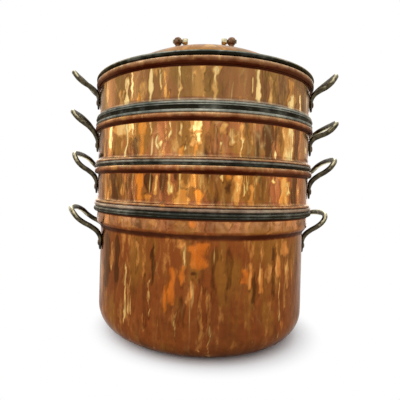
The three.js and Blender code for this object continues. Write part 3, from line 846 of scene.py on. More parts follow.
def new_metal(name, edge, grain):
    """A metal material with polishing scratches. Returns it, its tree and its shader's inputs. edge is the
    tint at glancing angles, and grain is how deep the scratches are."""
    material = bpy.data.materials.new(name)
    material.use_nodes = True
    tree = material.node_tree
    shader = tree.nodes["Principled BSDF"].inputs
    wire(tree, shader["Metallic"], 1.0)
    wire(tree, shader["Specular Tint"], edge)
    bump = node(tree, "ShaderNodeBump")
    wire(tree, bump.inputs["Strength"], GRAIN_STRENGTH)
    wire(tree, bump.inputs["Distance"], GRAIN_DEPTH)
    wire(tree, bump.inputs["Height"], use_group(tree, GRAIN_GROUP, Depth=grain)["Height"])
    wire(tree, shader["Normal"], bump.outputs[0])
    return material, tree, shader


def copper_metal(name, tones, strengths, edge=COPPER_EDGE):
    """A worn tinned copper. tones are seven colours as seen on screen, in the order of TONES, and strengths
    say how strong the effects of STRENGTHS are."""
    material, tree, shader = new_metal(name, edge, grain=1.0)
    values = {tone: rgb(*colour) for tone, colour in zip(TONES, tones)} | dict(zip(STRENGTHS, strengths))
    copper = use_group(tree, COPPER_GROUP, **values)
    tinning = use_group(tree, TINNING_GROUP, Light=LIGHT_TIN, Dark=DARK_TIN)
    mask = use_group(tree, DIRT_AND_SHADE_GROUP, Amount=1.0)["Mask"]
    tin = attribute(tree, "tin")
    colour = blend(tree, tin, copper["Color"], tinning["Color"])
    # tarnish and painted shade: a sooty red dark on copper and a grey dark on tin
    dirt_and_shade = blend(tree, stretch(tree, noise(tree, scale=9), 0.38, 0.6), SOOTY_DIRT_AND_SHADE, RED_DIRT_AND_SHADE)
    colour = blend(tree, mask, colour, blend(tree, tin, dirt_and_shade, TIN_DIRT_AND_SHADE))
    wire(tree, shader["Base Color"], colour)
    shine = blend(tree, tin, copper["Roughness"], tinning["Roughness"], kind="FLOAT")
    wire(tree, shader["Roughness"], maths(tree, "ADD", shine, times(tree, mask, 0.3), clamp=True))
    return material


def plain_metal(name, dark, light, rubbed):
    """A cast or forged metal: cloudy from dark to light, and bright where hands rub it and where a highlight
    is painted.
    """
    material, tree, shader = new_metal(name, PLAIN_EDGE, grain=2.0)
    clouds = stretch(tree, noise(tree, scale=120), 0.35, 0.65)
    wear_and_reflections = stretch(tree, noise(tree, scale=160, detail=3), 0.3, 0.7, -0.16, 0.16)
    mask = stretch(tree, plus(tree, attribute(tree, "polish"), wear_and_reflections), 0.15, 0.8)
    colour = blend(tree, mask, blend(tree, clouds, rgb(*dark), rgb(*light)), rgb(*rubbed))
    wire(tree, shader["Base Color"], colour)
    wire(tree, shader["Roughness"], stretch(tree, mask, 0.0, 1.0, 0.42, 0.2))
    return material


BRASS = plain_metal("cast_brass", dark=(46, 41, 32), light=(92, 82, 60), rubbed=(248, 234, 188))
OLD_COPPER = plain_metal("old_copper", dark=(58, 44, 34), light=(122, 90, 64), rubbed=(216, 172, 136))
IRON = plain_metal("hoop_iron", dark=(40, 37, 34), light=(74, 68, 62), rubbed=(120, 116, 110))
print("plain metals:", [metal.name for metal in (BRASS, OLD_COPPER, IRON)])

# %% [markdown]
# ## The coppers of this stack
# The vessels weren't made or used alike: the fire browned the pot, the lid kept its gold, and the lowest
# steamer was beaten most. So each has its own seven colours, which are copper, rosy, warm, dull, bright,
# glow and rubbed, and its own strengths of blows, clouds, streaks and ridges.

# %% Coppers
# warm, dull and glow are also the colours of painted reflections, bright that of painted highlights, and
# rubbed that of rubbed edges and painted highlights
MOST_BEATEN = [(146, 92, 40), (158, 88, 52), (210, 140, 66), (92, 54, 28), (248, 210, 126), (224, 130, 40),
               (204, 168, 124)]
MUCH_BEATEN = [(160, 108, 52), (172, 104, 62), (212, 150, 80), (102, 64, 36), (250, 218, 146), (224, 138, 50),
               (204, 168, 124)]
SMOOTHER = [(140, 101, 54), (148, 98, 60), (202, 150, 84), (100, 68, 42), (246, 212, 142), (214, 138, 58),
            (240, 206, 166)]
FIRE_BROWNED = [(142, 88, 36), (134, 68, 32), (190, 124, 62), (90, 50, 22), (244, 196, 118), (206, 108, 34),
                (204, 144, 98)]
GOLDEN = [(172, 116, 62), (184, 120, 74), (220, 160, 84), (126, 84, 50), (252, 216, 136), (240, 168, 66),
          (208, 156, 118)]
GOLDEN_EDGE = (0.78, 0.6, 0.42, 1)

COPPERS = {
    "steamer_1": copper_metal("copper_most_beaten", MOST_BEATEN, (0.5, 0.5, 0.2, 0.35)),
    "steamer_2": copper_metal("copper_much_beaten", MUCH_BEATEN, (0.5, 0.5, 0.2, 0.35)),
    "steamer_3": copper_metal("copper_smoother", SMOOTHER, (0.25, 0.35, 0.1, 0.15)),
    "pot": copper_metal("pot_copper", FIRE_BROWNED, (0.4, 0.6, 0.12, 0.12)),
    "lid": copper_metal("lid_copper", GOLDEN, (0.5, 0.9, 0.3, 0.4), edge=GOLDEN_EDGE),
}
TINNED = copper_metal("tinned_copper", SMOOTHER, (0.3, 0.5, 0.2, 0.0))
print("coppers:", [metal.name for metal in (*COPPERS.values(), TINNED)])

# %% [markdown]
# ## The rolled rim
# Every vessel's rim is rolled outwards over an iron hoop and stands out from the wall as a bead. Its
# outline is part of an ellipse as high as the rim, from the crease under the lip, round the bead and
# over to the mouth. The crease and the bead's underside are darkened by painted shade, and its top
# carries a painted highlight. On the second steamer the tinning comes over the top and ends in a crease
# of its own.

# %% Rolled rim
CREST_RADIUS = (RIM_RADIUS + WALL_RADIUS) / 2
CLEAR_OF_RIM = 3 * MM


def tinned_bead(top, tall):
    """A crease with painted shade in a roll, and over it a round tinned bead of that height, up to the top,
    with painted shade at the bead's foot.
    """
    half = tall / 2
    crease, under = (RIM_RADIUS - 1.6 * MM, top - tall), (RIM_RADIUS - 1.8 * MM, top - tall + 0.3 * MM)
    centre = (RIM_RADIUS - 0.4 * MM - half, top - half)
    return [straight(crease, under, 1, tin=(0.0, 1.0), tarnish=1.0),
            bow(centre, (half, half), -70, 90, 10, tin=1.0, tarnish=(0.35, 0.0))]


def rolled_rim(top, rim_height, tinned=0.0, tin=0.0, roll_shade=0.0):
    """The roll, from the wall's outside under the lip, round its bead and over to the mouth's inside. The
    underside is darkened by painted shade, and the upper side carries a painted highlight. tinned is the
    height of a tinned bead on top, and the last argument is how much painted shade darkens the roll."""
    lip = top - rim_height
    half = (rim_height - tinned) / 2
    centre, radii = (CREST_RADIUS, lip + half), (RIM_RADIUS - CREST_RADIUS, half)
    plain_top = [bow(centre, radii, 68, 90, 2, tin=tin, tarnish=roll_shade, polish=0.9)]
    return np.concatenate([
        straight((WALL_RADIUS, lip - 1.5 * MM), (WALL_RADIUS + 0.2 * MM, lip + 0.6 * MM), 2, tarnish=1.0),
        bow(centre, radii, -120, -44, 7, tin=tin, tarnish=1.0),
        bow(centre, radii, -36, -14, 3, tin=tin, tarnish=(0.95, 0.6)),
        bow(centre, radii, -8, 62, 7, tin=tin, tarnish=(0.6 + roll_shade, roll_shade), polish=(0.0, 1.3)),
        *(tinned_bead(top, tinned) if tinned else plain_top),
        straight((CREST_RADIUS - EDGE_ROUND, top), (MOUTH_RADIUS + EDGE_ROUND, top), 2, tin=max(tin, 0.5)),
        bow((MOUTH_RADIUS + EDGE_ROUND, top - EDGE_ROUND), (EDGE_ROUND,) * 2, 90, 180, 3, tin=1.0),
    ])


print("points round a rolled rim:", len(rolled_rim(POT_HEIGHT, POT_RIM_HEIGHT)))

# %% [markdown]
# ## The pot's shape
# One sheet is beaten into a flat base, a round corner, a straight wall and a shoulder that widens into the
# neck. The inside is tinned. The outline starts at the base's middle, runs up the outside, over the rim
# and down the inside again. It goes as far as the axis at both ends, so it needs no closing.

# %% Pot outline
NECK_BOTTOM = POT_HEIGHT - NECK_HEIGHT
POT_WALL_TOP = NECK_BOTTOM - SHOULDER_HEIGHT
BASE_RADIUS = POT_RADIUS - POT_CORNER_RADIUS
CORNER_CENTRE = (BASE_RADIUS, POT_CORNER_RADIUS)


def pot_outside():
    """Base, corner, wall, shoulder and neck, from the base's middle up to the rim. The base, the corner and
    the wall grow darker towards the bottom, the crease under the shoulder is darkened by painted shade, and
    the neck is rubbed and lit by a painted highlight, more towards the top.
    """
    bulge = POT_RADIUS + SHOULDER_STEP * 0.57
    wall_foot, dark_line = (POT_RADIUS, POT_CORNER_RADIUS), (bulge, NECK_BOTTOM - SHOULDER_HEIGHT * 0.45)
    neck_top = POT_HEIGHT - POT_RIM_HEIGHT - CLEAR_OF_RIM
    return [
        stretch_of([(0, 0)], tarnish=0.4),
        straight((BASE_RADIUS * 0.5, 0), (BASE_RADIUS * 0.98, 0), 3, tarnish=0.4),
        bow(CORNER_CENTRE, (POT_CORNER_RADIUS,) * 2, -88, -3, 16, tarnish=(0.45, 0.3), beaten=(0.55, 1.0)),
        straight(wall_foot, (POT_RADIUS, POT_WALL_TOP - 3 * MM), 32, beaten=1.0, tarnish=(0.3, 0.08)),
        straight((POT_RADIUS + 0.4 * MM, POT_WALL_TOP), dark_line, 3, tarnish=(0.8, 1.0), beaten=0.3),
        straight((bulge + 0.8 * MM, NECK_BOTTOM - SHOULDER_HEIGHT * 0.33), (WALL_RADIUS, NECK_BOTTOM), 2,
                 tarnish=(0.6, 0.1)),
        straight((WALL_RADIUS, NECK_BOTTOM + 2 * MM), (WALL_RADIUS, neck_top), 6, beaten=1.0,
                 polish=(0.45, 0.75)),
    ]


def pot_inside():
    """Mouth, wall, corner and base, one sheet inside the outside, back to the base's middle."""
    inner_radius = POT_CORNER_RADIUS - SHEET
    return [
        straight((MOUTH_RADIUS, POT_HEIGHT - CLEAR_OF_RIM), (MOUTH_RADIUS, NECK_BOTTOM), 3, tin=1.0),
        straight((POT_RADIUS - SHEET, POT_WALL_TOP), (POT_RADIUS - SHEET, POT_CORNER_RADIUS), 5, tin=1.0),
        bow(CORNER_CENTRE, (inner_radius,) * 2, -5, -88, 8, tin=1.0),
        straight((BASE_RADIUS * 0.98, SHEET), (BASE_RADIUS * 0.5, SHEET), 2, tin=1.0),
        stretch_of([(0, SHEET)], tin=1.0),
    ]


# painted shade darkens the pot's roll, which lies under the foot of the steamer above
POT_RIM = rolled_rim(POT_HEIGHT, POT_RIM_HEIGHT, tin=1.0, roll_shade=0.45)
POT_OUTLINE = np.concatenate([*pot_outside(), POT_RIM, *pot_inside()])
print("points in the pot's outline:", len(POT_OUTLINE))

# %% [markdown]
# ## The pot's panels
# Each panel is read from the photograph as (left column, right column, low, high, kind). Low and high are
# shares of the wall's height, so those over 1 lie on the neck. The pot is brown, and its orange, gold and
# bright panels are painted reflections and highlights.

# %% Pot
POT_PANELS = [
    (104, 110, 0.45, 0.99, "dull"), (110, 113.5, 0.62, 0.92, "warm"), (115, 119, 0.55, 0.97, "dull"),
    (124, 125.6, 0.22, 0.78, "bright"), (130, 131.2, 0.30, 0.70, "bright"), (126, 129.5, 0.3, 0.6, "warm"),
    (135, 139, 0.70, 0.97, "warm"), (143, 146, 0.25, 0.7, "brown"), (148, 149.6, 0.34, 0.68, "bright"),
    (151, 154, 0.6, 0.95, "dull"), (156.5, 158.5, 0.20, 0.39, "warm"), (162, 168, 0.40, 0.66, "orange"),
    (168, 176, 0.46, 0.8, "orange"), (174.5, 175.7, 0.2, 0.42, "bright"), (176, 187, 0.91, 0.99, "gold"),
    (178, 184, 0.3, 0.55, "brown"), (188, 209, 0.76, 0.99, "orange"), (184, 186, 0.74, 0.97, "bright"),
    (179, 186, 0.62, 0.80, "orange"), (190, 193.5, 0.52, 0.68, "orange"), (192, 198, 0.7, 0.76, "dull"),
    (198, 203, 0.2, 0.7, "warm"), (204, 208, 0.37, 0.66, "warm"), (208.6, 209.8, 0.06, 0.36, "bright"),
    (206.5, 212, 0.03, 0.09, "bright"), (212, 216, 0.5, 0.95, "brown"), (221, 222, 0.84, 0.95, "bright"),
    (226, 232, 0.6, 0.97, "brown"), (240, 251, 0.64, 0.78, "orange"), (247, 252, 0.60, 0.84, "gold"),
    (252, 256, 0.46, 0.74, "dull"), (256, 259, 0.5, 0.66, "brown"), (260, 262.5, 0.80, 0.99, "gold"),
    (258, 264, 0.52, 0.78, "gold"), (264, 272, 0.62, 0.82, "warm"), (272, 275, 0.5, 0.95, "dull"),
    (275, 281, 0.66, 0.86, "gold"), (278, 279.4, 0.28, 0.66, "bright"), (280, 289, 0.84, 0.99, "gold"),
    (283, 285, 0.36, 0.66, "warm"), (290, 293, 0.52, 0.83, "gold"), (294, 298, 0.6, 0.99, "brown"),
    (101, 103.5, 0.3, 0.97, "warm"), (285, 289.5, 0.55, 0.82, "warm"), (99, 104, 1.06, 1.25, "brown"),
    (113, 118, 1.06, 1.25, "brown"), (121, 127, 1.08, 1.25, "warm"), (135, 146, 1.06, 1.25, "dull"),
    (148, 162, 1.08, 1.18, "warm"), (166, 173, 1.06, 1.25, "brown"), (176, 186, 1.07, 1.16, "warm"),
    (188, 197, 1.06, 1.25, "orange"), (203, 217, 1.06, 1.25, "brown"), (221, 230, 1.08, 1.2, "warm"),
    (238, 248, 1.08, 1.15, "warm"), (256, 268, 1.06, 1.25, "brown"), (270, 276, 1.1, 1.25, "warm"),
    (280, 289, 1.08, 1.22, "gold"), (292, 300, 1.06, 1.25, "dull"),
]
POT_MARKS = {"wide": 10 * MM, "tall": 80 * MM, "flatness": (0.16, 8.0), "seed": 11}
POT_WEAR_AND_REFLECTIONS = {"low": 0.0, "high": POT_WALL_TOP, "radius": POT_RADIUS, "listed": POT_PANELS, "seed": 4,
            "spans": [(0.1, 0.5), (0.3, 0.7), (0.55, 0.95), (0.4, 0.9), (0.3, 0.5), (0.6, 0.8)]}
pot = turned("pot_copper", POT_OUTLINE, closed=False, marks=POT_MARKS, wear_and_reflections=POT_WEAR_AND_REFLECTIONS)
place_on(pot, "pot", ["pot_shell"], COPPERS["pot"])

# %% [markdown]
# ## The steamers' panels
# The three walls are worn and shine unlike: their panels paint their reflections and highlights along with
# their uneven tone. The lowest is striped from top to bottom in brown, gold and orange. The second has pale
# patches that turn to loops and sparkles, and the third is smooth and brown, with a few thin bright lines,
# which are painted highlights.

# %% Panels of the steamers
WALL_PANELS = {
    "steamer_1": [
        (98, 107, 0.0, 1.0, "brown"), (101, 102.3, 0.0, 1.0, "warm"), (109.5, 122, 0.0, 1.0, "dull"),
        (102.5, 109.5, 0.0, 1.0, "brown"), (123, 125.5, 0.0, 1.0, "warm"), (126, 134.5, 0.0, 1.0, "brown"),
        (136, 144, 0.0, 1.0, "orange"), (145, 152, 0.25, 1.0, "dull"), (143, 151.5, 0.0, 0.3, "gold"),
        (153.5, 158, 0.05, 0.95, "pale"), (160, 166.5, 0.0, 1.0, "dull"), (167, 169.3, 0.1, 1.0, "pale"),
        (168.5, 172, 0.2, 0.6, "pale"), (172, 176, 0.55, 1.0, "dull"), (174, 190, 0.0, 0.45, "gold"),
        (178, 190, 0.35, 0.9, "warm"), (190, 198, 0.4, 1.0, "gold"), (194, 205, 0.0, 0.48, "orange"),
        (205, 218, 0.0, 1.0, "brown"), (219, 223.5, 0.7, 1.0, "bright"), (226, 232, 0.68, 1.0, "gold"),
        (226, 231, 0.3, 0.68, "brown"), (233, 242, 0.0, 1.0, "warm"), (243, 245, 0.05, 1.0, "bright"),
        (246.2, 248, 0.3, 1.0, "bright"), (248, 254.5, 0.0, 0.65, "gold"), (256, 258.5, 0.6, 0.9, "bright"),
        (260, 272, 0.0, 1.0, "brown"), (273, 276, 0.55, 0.95, "bright"), (278, 290, 0.0, 1.0, "gold"),
        (287.5, 290, 0.1, 0.9, "bright"), (291, 297, 0.0, 1.0, "dull"), (298.5, 300.5, 0.0, 1.0, "warm"),
    ],
    "steamer_2": [
        (98, 104, 0.0, 1.0, "dull"), (105.5, 108.5, 0.0, 1.0, "dull"), (113, 134, 0.55, 1.0, "gold"),
        (109.5, 112.5, 0.1, 1.0, "bright"), (113, 122, 0.0, 0.55, "brown"),
        (125.3, 127.3, 0.0, 1.0, "bright"), (131.5, 133.5, 0.5, 1.0, "bright"),
        (128, 131.5, 0.0, 0.5, "dull"), (132.5, 137, 0.0, 0.55, "dull"), (137.5, 146, 0.0, 1.0, "orange"),
        (149, 152, 0.45, 1.0, "bright"), (156, 158.5, 0.05, 0.5, "bright"),
        (160, 162, 0.05, 0.45, "bright"), (165, 167, 0.3, 0.8, "warm"), (169.3, 171.5, 0.3, 1.0, "bright"),
        (179, 181.5, 0.35, 0.95, "bright"), (180, 186, 0.0, 0.35, "orange"),
        (185.3, 187.5, 0.05, 0.5, "bright"), (187, 206, 0.60, 1.0, "pale"), (195, 203, 0.25, 0.7, "pale"),
        (190, 196, 0.1, 0.5, "warm"), (194, 199, 0.0, 0.4, "orange"), (205, 210, 0.0, 0.6, "brown"),
        (213, 219, 0.0, 0.85, "brown"), (220, 229, 0.55, 0.98, "pale"), (228, 236, 0.2, 0.75, "pale"),
        (231, 233, 0.2, 0.7, "bright"), (221, 223.5, 0.05, 0.4, "bright"),
        (240.5, 242.5, 0.0, 0.6, "bright"), (239, 244.5, 0.4, 0.95, "pale"), (249, 260, 0.35, 0.56, "gold"),
        (245, 249, 0.0, 1.0, "brown"), (251, 253.5, 0.3, 0.7, "gold"), (255, 261, 0.0, 0.8, "brown"),
        (262, 274, 0.0, 1.0, "dull"), (276, 282, 0.0, 1.0, "brown"), (273.5, 276, 0.0, 0.35, "bright"),
        (282.5, 292.5, 0.0, 1.0, "pale"), (291, 293.3, 0.0, 0.9, "bright"), (294.5, 299, 0.0, 1.0, "dull"),
        (305, 306.3, 0.1, 0.6, "bright"),
    ],
    "steamer_3": [
        (106.3, 109, 0.1, 0.95, "warm"), (119, 124.5, 0.0, 0.5, "gold"), (125, 129.5, 0.0, 0.9, "bright"),
        (131.3, 133.5, 0.05, 1.0, "bright"), (137, 140, 0.0, 0.25, "orange"),
        (148.7, 153.3, 0.0, 1.0, "bright"), (158.5, 160.5, 0.1, 0.95, "bright"),
        (163.5, 166.5, 0.0, 0.95, "gold"), (168, 171, 0.0, 0.2, "orange"),
        (178.8, 181.4, 0.0, 1.0, "bright"), (177.3, 182.7, 0.15, 0.45, "bright"),
        (213, 222, 0.6, 1.0, "pale"), (213, 219, 0.0, 0.7, "pale"), (215, 217, 0.3, 1.0, "bright"),
        (218, 224, 0.8, 1.0, "gold"), (204, 212, 0.1, 0.9, "brown"), (251.7, 253.5, 0.1, 0.7, "bright"),
        (256.3, 260.5, 0.0, 1.0, "bright"), (261.5, 266, 0.0, 1.0, "brown"), (267, 273, 0.0, 0.95, "warm"),
        (274, 286, 0.0, 1.0, "brown"), (296, 305, 0.0, 1.0, "brown"), (288, 294.5, 0.0, 0.95, "gold"),
        (289, 294, 0.0, 0.4, "bright"), (299, 301, 0.0, 0.55, "bright"), (306, 307, 0.0, 0.6, "bright"),
    ],
}
print("panels placed by eye:", {base: len(listed) for base, listed in WALL_PANELS.items()})

# %% [markdown]
# ## The steamers' walls
# A steamer is a straight wall with a rolled rim on top and a foot spread outwards below, with a narrow lip
# round the edge of its pierced bottom. The hammer marks differ too: narrow on the lower two, wide and
# faint on the third, which is why each wall has its own numbers for the same pattern.

# %% Steamer walls
WALL_MARKS = {
    "steamer_1": {"wide": 9 * MM, "tall": 70 * MM, "flatness": (0.10, 6.0), "seed": 5},
    "steamer_2": {"wide": 9 * MM, "tall": 60 * MM, "flatness": (0.11, 5.0), "seed": 21},
    "steamer_3": {"wide": 12 * MM, "tall": 90 * MM, "flatness": (0.25, 9.0), "seed": 34},
}
WALL_SPANS = [(-0.3, 1.3), (-0.3, 0.5), (0.4, 1.3), (0.25, 0.75)]
RIM_TINNED = {"steamer_1": 0.0, "steamer_2": 4.4 * MM, "steamer_3": 0.0}
FOOT_TINNED = {"steamer_1": 0.0, "steamer_2": 0.15, "steamer_3": 1.0}
FOOT_HEIGHT = 8 * MM
LIP_DROP = 1.6 * MM


def foot_stretches(bottom, tin):
    """The foot's underside, the lip that drops round the sieve's edge, a rounded edge, and the flare, which
    is part of an ellipse that bends up into the wall. The underside and the lip are darkened by painted
    shade, and the rounded edge and the flare's foot carry a painted highlight."""
    edge, under = SIEVE_RADIUS + 0.5 * MM, bottom - LIP_DROP
    flare = edge - 0.4 * MM
    lip_top, lip_foot = (SIEVE_RADIUS - 1.2 * MM, bottom - 0.2 * MM), (SIEVE_RADIUS - 1.1 * MM, under)
    return [
        straight((MOUTH_RADIUS, bottom), (SIEVE_RADIUS - 1.2 * MM, bottom), 2, tin=tin, tarnish=0.4),
        straight(lip_top, lip_foot, 2, tin=tin, tarnish=0.6),
        straight((edge - 0.6 * MM, under), (edge - 0.2 * MM, under + 0.4 * MM), 1, tin=tin, tarnish=0.6),
        bow((edge - EDGE_ROUND, bottom + EDGE_ROUND), (EDGE_ROUND,) * 2, -20, 30, 3, tin=tin, polish=1.0),
        bow((flare, bottom + 7.5 * MM), (flare - WALL_RADIUS, 5.6 * MM), 262, 185, 7, tin=(tin, 0.0),
            tarnish=(0.0, 0.3), polish=(0.8, 0.0), beaten=(0.3, 1.0)),
    ]


def wall_outline(base):
    """Foot, outside, rim and inside of one steamer's wall, as a closed ring."""
    low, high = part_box(f"{base}_wall")
    bottom, top = low.z, high.z
    beaten_top = top - RIM_HEIGHTS[base] - CLEAR_OF_RIM
    return np.concatenate([
        *foot_stretches(bottom, FOOT_TINNED[base]),
        straight((WALL_RADIUS, bottom + FOOT_HEIGHT + 1 * MM), (WALL_RADIUS, beaten_top), 38, beaten=1.0),
        rolled_rim(top, RIM_HEIGHTS[base], tinned=RIM_TINNED[base]),
        straight((MOUTH_RADIUS, top - CLEAR_OF_RIM), (MOUTH_RADIUS, bottom + 2 * MM), 5, tin=1.0),
    ])


for base in STEAMERS:
    low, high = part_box(f"{base}_wall")
    wear_and_reflections = {"low": low.z + FOOT_HEIGHT, "high": high.z - RIM_HEIGHTS[base], "radius": WALL_RADIUS,
            "listed": WALL_PANELS[base], "seed": WALL_MARKS[base]["seed"], "spans": WALL_SPANS}
    wall = turned(f"{base}_copper", wall_outline(base), marks=WALL_MARKS[base], wear_and_reflections=wear_and_reflections)
    place_on(wall, base, [f"{base}_wall"], COPPERS[base])

# %% [markdown]
# ## The foot rings
# Under each steamer lies a ring: its bead sits on the rim below, and its spigot drops into that vessel's
# mouth, which keeps the stack from sliding. Between bead and rim runs a groove, taller on the upper
# tiers, darkened by painted shade, and the bead has painted shade at its foot and a painted highlight on
# top. The upper two rings are tinned, and the lowest one is rubbed down to its copper here and there.

# %% Foot rings
GROOVES = {"steamer_1": 0.9 * MM, "steamer_2": 3.0 * MM, "steamer_3": 4.8 * MM}
GROOVE_DEPTH = 2.3 * MM
BEAD_TINNED = {"steamer_1": 0.6, "steamer_2": 0.9, "steamer_3": 1.0}
BEAD_SHADE = {"steamer_1": (0.5, 0.0), "steamer_2": (0.6, 0.0), "steamer_3": (0.6, 0.0)}
SPIGOT_INSIDE = SPIGOT_RADIUS - SPIGOT_SHEET
FOOT_COLUMNS = 480


def foot_outline(base):
    """A groove on the rim below, darkened by painted shade, a round bead over it with painted shade at its
    foot and a painted highlight on top, and the spigot that drops into the mouth.
    """
    low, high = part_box(f"{base}_foot_ring")
    seat = low.z + SPIGOT_DEPTH
    bead = seat + GROOVES[base]
    half = (high.z - bead) / 2
    groove = FOOT_RADIUS - GROOVE_DEPTH
    return np.concatenate([
        straight((SPIGOT_RADIUS, low.z), (SPIGOT_RADIUS, seat), 3, tin=1.0, tarnish=0.3),
        straight((SPIGOT_RADIUS + EDGE_ROUND, seat), (groove, seat), 2, tin=1.0, tarnish=0.6),
        straight((groove, seat + 0.2 * MM), (groove, bead - 0.2 * MM), 3, tin=1.0, tarnish=0.82),
        bow((FOOT_RADIUS - half, bead + half), (half, half), -85, 85, 14, tin=BEAD_TINNED[base],
            tarnish=BEAD_SHADE[base], polish=(0.0, 1.0)),
        straight((groove, high.z), (SPIGOT_INSIDE, high.z), 2, tin=1.0, tarnish=0.6),
        straight((SPIGOT_INSIDE, high.z - EDGE_ROUND), (SPIGOT_INSIDE, low.z), 4, tin=1.0),
    ])


for base in STEAMERS:
    foot = turned(f"{base}_foot", foot_outline(base), columns=FOOT_COLUMNS)
    place_on(foot, base, [f"{base}_foot_ring"], COPPERS[base])

# %% [markdown]
# ## A pierced sheet
# The steam rises through a pierced disc. Punched holes stand in a hexagon pattern, so the disc is tiled
# by hexagons with a round hole in each one. The cells share their corners, which closes the sheet without
# any cutting. The cells' ragged outer edge is then joined to the disc's round edge.

# %% Pierced sheet
HOLE_PITCH = 15 * MM
HOLE_RADIUS = 2.6 * MM
CELL_POINTS = 12
UNPIERCED_EDGE = 17 * MM
CORNER_TOLERANCE = 1e-6


def hexagon_centres(reach):
    """Centres of a hexagon lattice inside a circle: (i + half of j's oddness) * pitch across, and
    j * pitch * the root of 3/4 up."""
    count = int(reach / HOLE_PITCH) + 2
    i, j = np.meshgrid(np.arange(-count, count + 1), np.arange(-count, count + 1))
    x = (i + 0.5 * (j % 2)) * HOLE_PITCH
    y = j * HOLE_PITCH * np.sqrt(0.75)
    inside = np.hypot(x, y) < reach
    return np.column_stack([x[inside], y[inside]])


def pierced_cells(centres):
    """Each cell as a ring from its hexagon to its hole: the points, its faces, and the hexagons' sides as
    pairs of point numbers. A corner lies at pitch / root 3, and a side's middle at half a pitch."""
    steps = np.arange(CELL_POINTS)
    angle = 2 * np.pi / CELL_POINTS * steps
    corner = HOLE_PITCH / np.sqrt(3)
    reach = np.where(steps % 2 == 0, corner * np.sqrt(0.75), corner)
    cell = np.column_stack([np.cos(angle), np.sin(angle)])
    outer = (centres[:, None, :] + cell * reach[:, None]).reshape(-1, 2)
    hole = (centres[:, None, :] + cell * HOLE_RADIUS).reshape(-1, 2)
    number = np.arange(len(outer)).reshape(-1, CELL_POINTS)
    after = np.roll(number, -1, axis=1)
    shift = len(outer)
    rings = np.stack([number, after, after + shift, number + shift], axis=-1).reshape(-1, 4)
    return np.concatenate([outer, hole]), rings, np.column_stack([number.ravel(), after.ravel()])


def pierced_disc(radius):
    """Points and faces of the flat sheet. A hexagon's side that only one cell has is on the ragged border,
    and one face joins it to the same two points pushed out to the disc's radius."""
    points, rings, sides = pierced_cells(hexagon_centres(radius - UNPIERCED_EDGE))
    _, place = np.unique(np.round(points / CORNER_TOLERANCE).astype(np.int64), axis=0, return_inverse=True)
    keys = np.sort(place.ravel()[sides], axis=1)
    _, which, uses = np.unique(keys, axis=0, return_inverse=True, return_counts=True)
    border = sides[uses[which.ravel()] == 1]
    rim = unit(points[border.ravel()]) * radius
    outside = (len(points) + np.arange(len(rim))).reshape(-1, 2)
    skirt = np.column_stack([border[:, 1], border[:, 0], outside[:, 0], outside[:, 1]])
    return np.concatenate([points, rim]), np.concatenate([rings, skirt])


print("holes in a sieve:", len(hexagon_centres(SIEVE_RADIUS - UNPIERCED_EDGE)))

# %% [markdown]
# ## The sieves
# The flat sheet is placed at the height of each steamer's pierced bottom, and the Solidify modifier gives
# it its thickness downwards, which also makes the walls of the holes. It is tinned all over, and lies
# hidden under the food.

# %% Sieves
SIEVE_SHEET = 1.5 * MM
SIEVE_PLAY = 1.5 * MM


def make_sieve(base):
    """The disc as a mesh at its height, with all faces up, thickened downwards from its upper face."""
    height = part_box(f"{base}_sieve")[1].z
    flat, faces = pierced_disc(SIEVE_RADIUS - SIEVE_PLAY)
    points = np.column_stack([flat, np.full(len(flat), height)])
    a, b, c = (points[faces[:, i]] for i in range(3))
    faces = np.where(np.cross(b - a, c - a)[:, 2:] > 0, faces, faces[:, ::-1])
    none = np.zeros(len(flat))
    fields = {"tin": none + 1, "tarnish": none + 0.15, "polish": none, "blow": none + 0.5, "ridge": none}
    sieve = add_mesh(f"{base}_pierced_bottom", points, faces, fields, smooth=False)
    thick = sieve.modifiers.new("sheet", "SOLIDIFY")
    thick.thickness = SIEVE_SHEET
    thick.offset = -1
    return sieve


for base in STEAMERS:
    place_on(make_sieve(base), base, [f"{base}_sieve"], TINNED)

# %% [markdown]
# ## The lid
# The lid is a low dome beaten from one sheet. It ends in a flat brim with a rolled edge whose lower side
# and underside are darkened by painted shade. The dome is its height as a function of the radius: flat on
# top and steeper towards the brim. Its hammer marks are about as tall as wide, unlike the long ones on the
# walls.

# %% Lid
LID_RIM_HEIGHT = 6.3 * MM
BRIM_WIDTH = 18 * MM
DOME_RISE = 58 * MM
DOME_FULLNESS = 2.3
DOME_RADIUS = RIM_RADIUS - BRIM_WIDTH
LID_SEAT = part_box("lid_dome")[0].z
BRIM = LID_SEAT + LID_RIM_HEIGHT


def dome_height(radius):
    """Height of the dome over its brim: rise * (1 - (r / R) ^ fullness)."""
    return DOME_RISE * (1 - (radius / DOME_RADIUS) ** DOME_FULLNESS)


def dome_stretch(offset, steps, inwards, **finish):
    """The dome's outline from the axis to its foot, or back, lowered by an offset. Its points lie closer
    towards the foot, at R * sin(a)."""
    radius = DOME_RADIUS * np.sin(np.linspace(0, np.pi / 2, steps + 1))
    radius = radius[::-1] if inwards else radius
    return stretch_of(np.column_stack([radius, BRIM + dome_height(radius) - offset]), **finish)


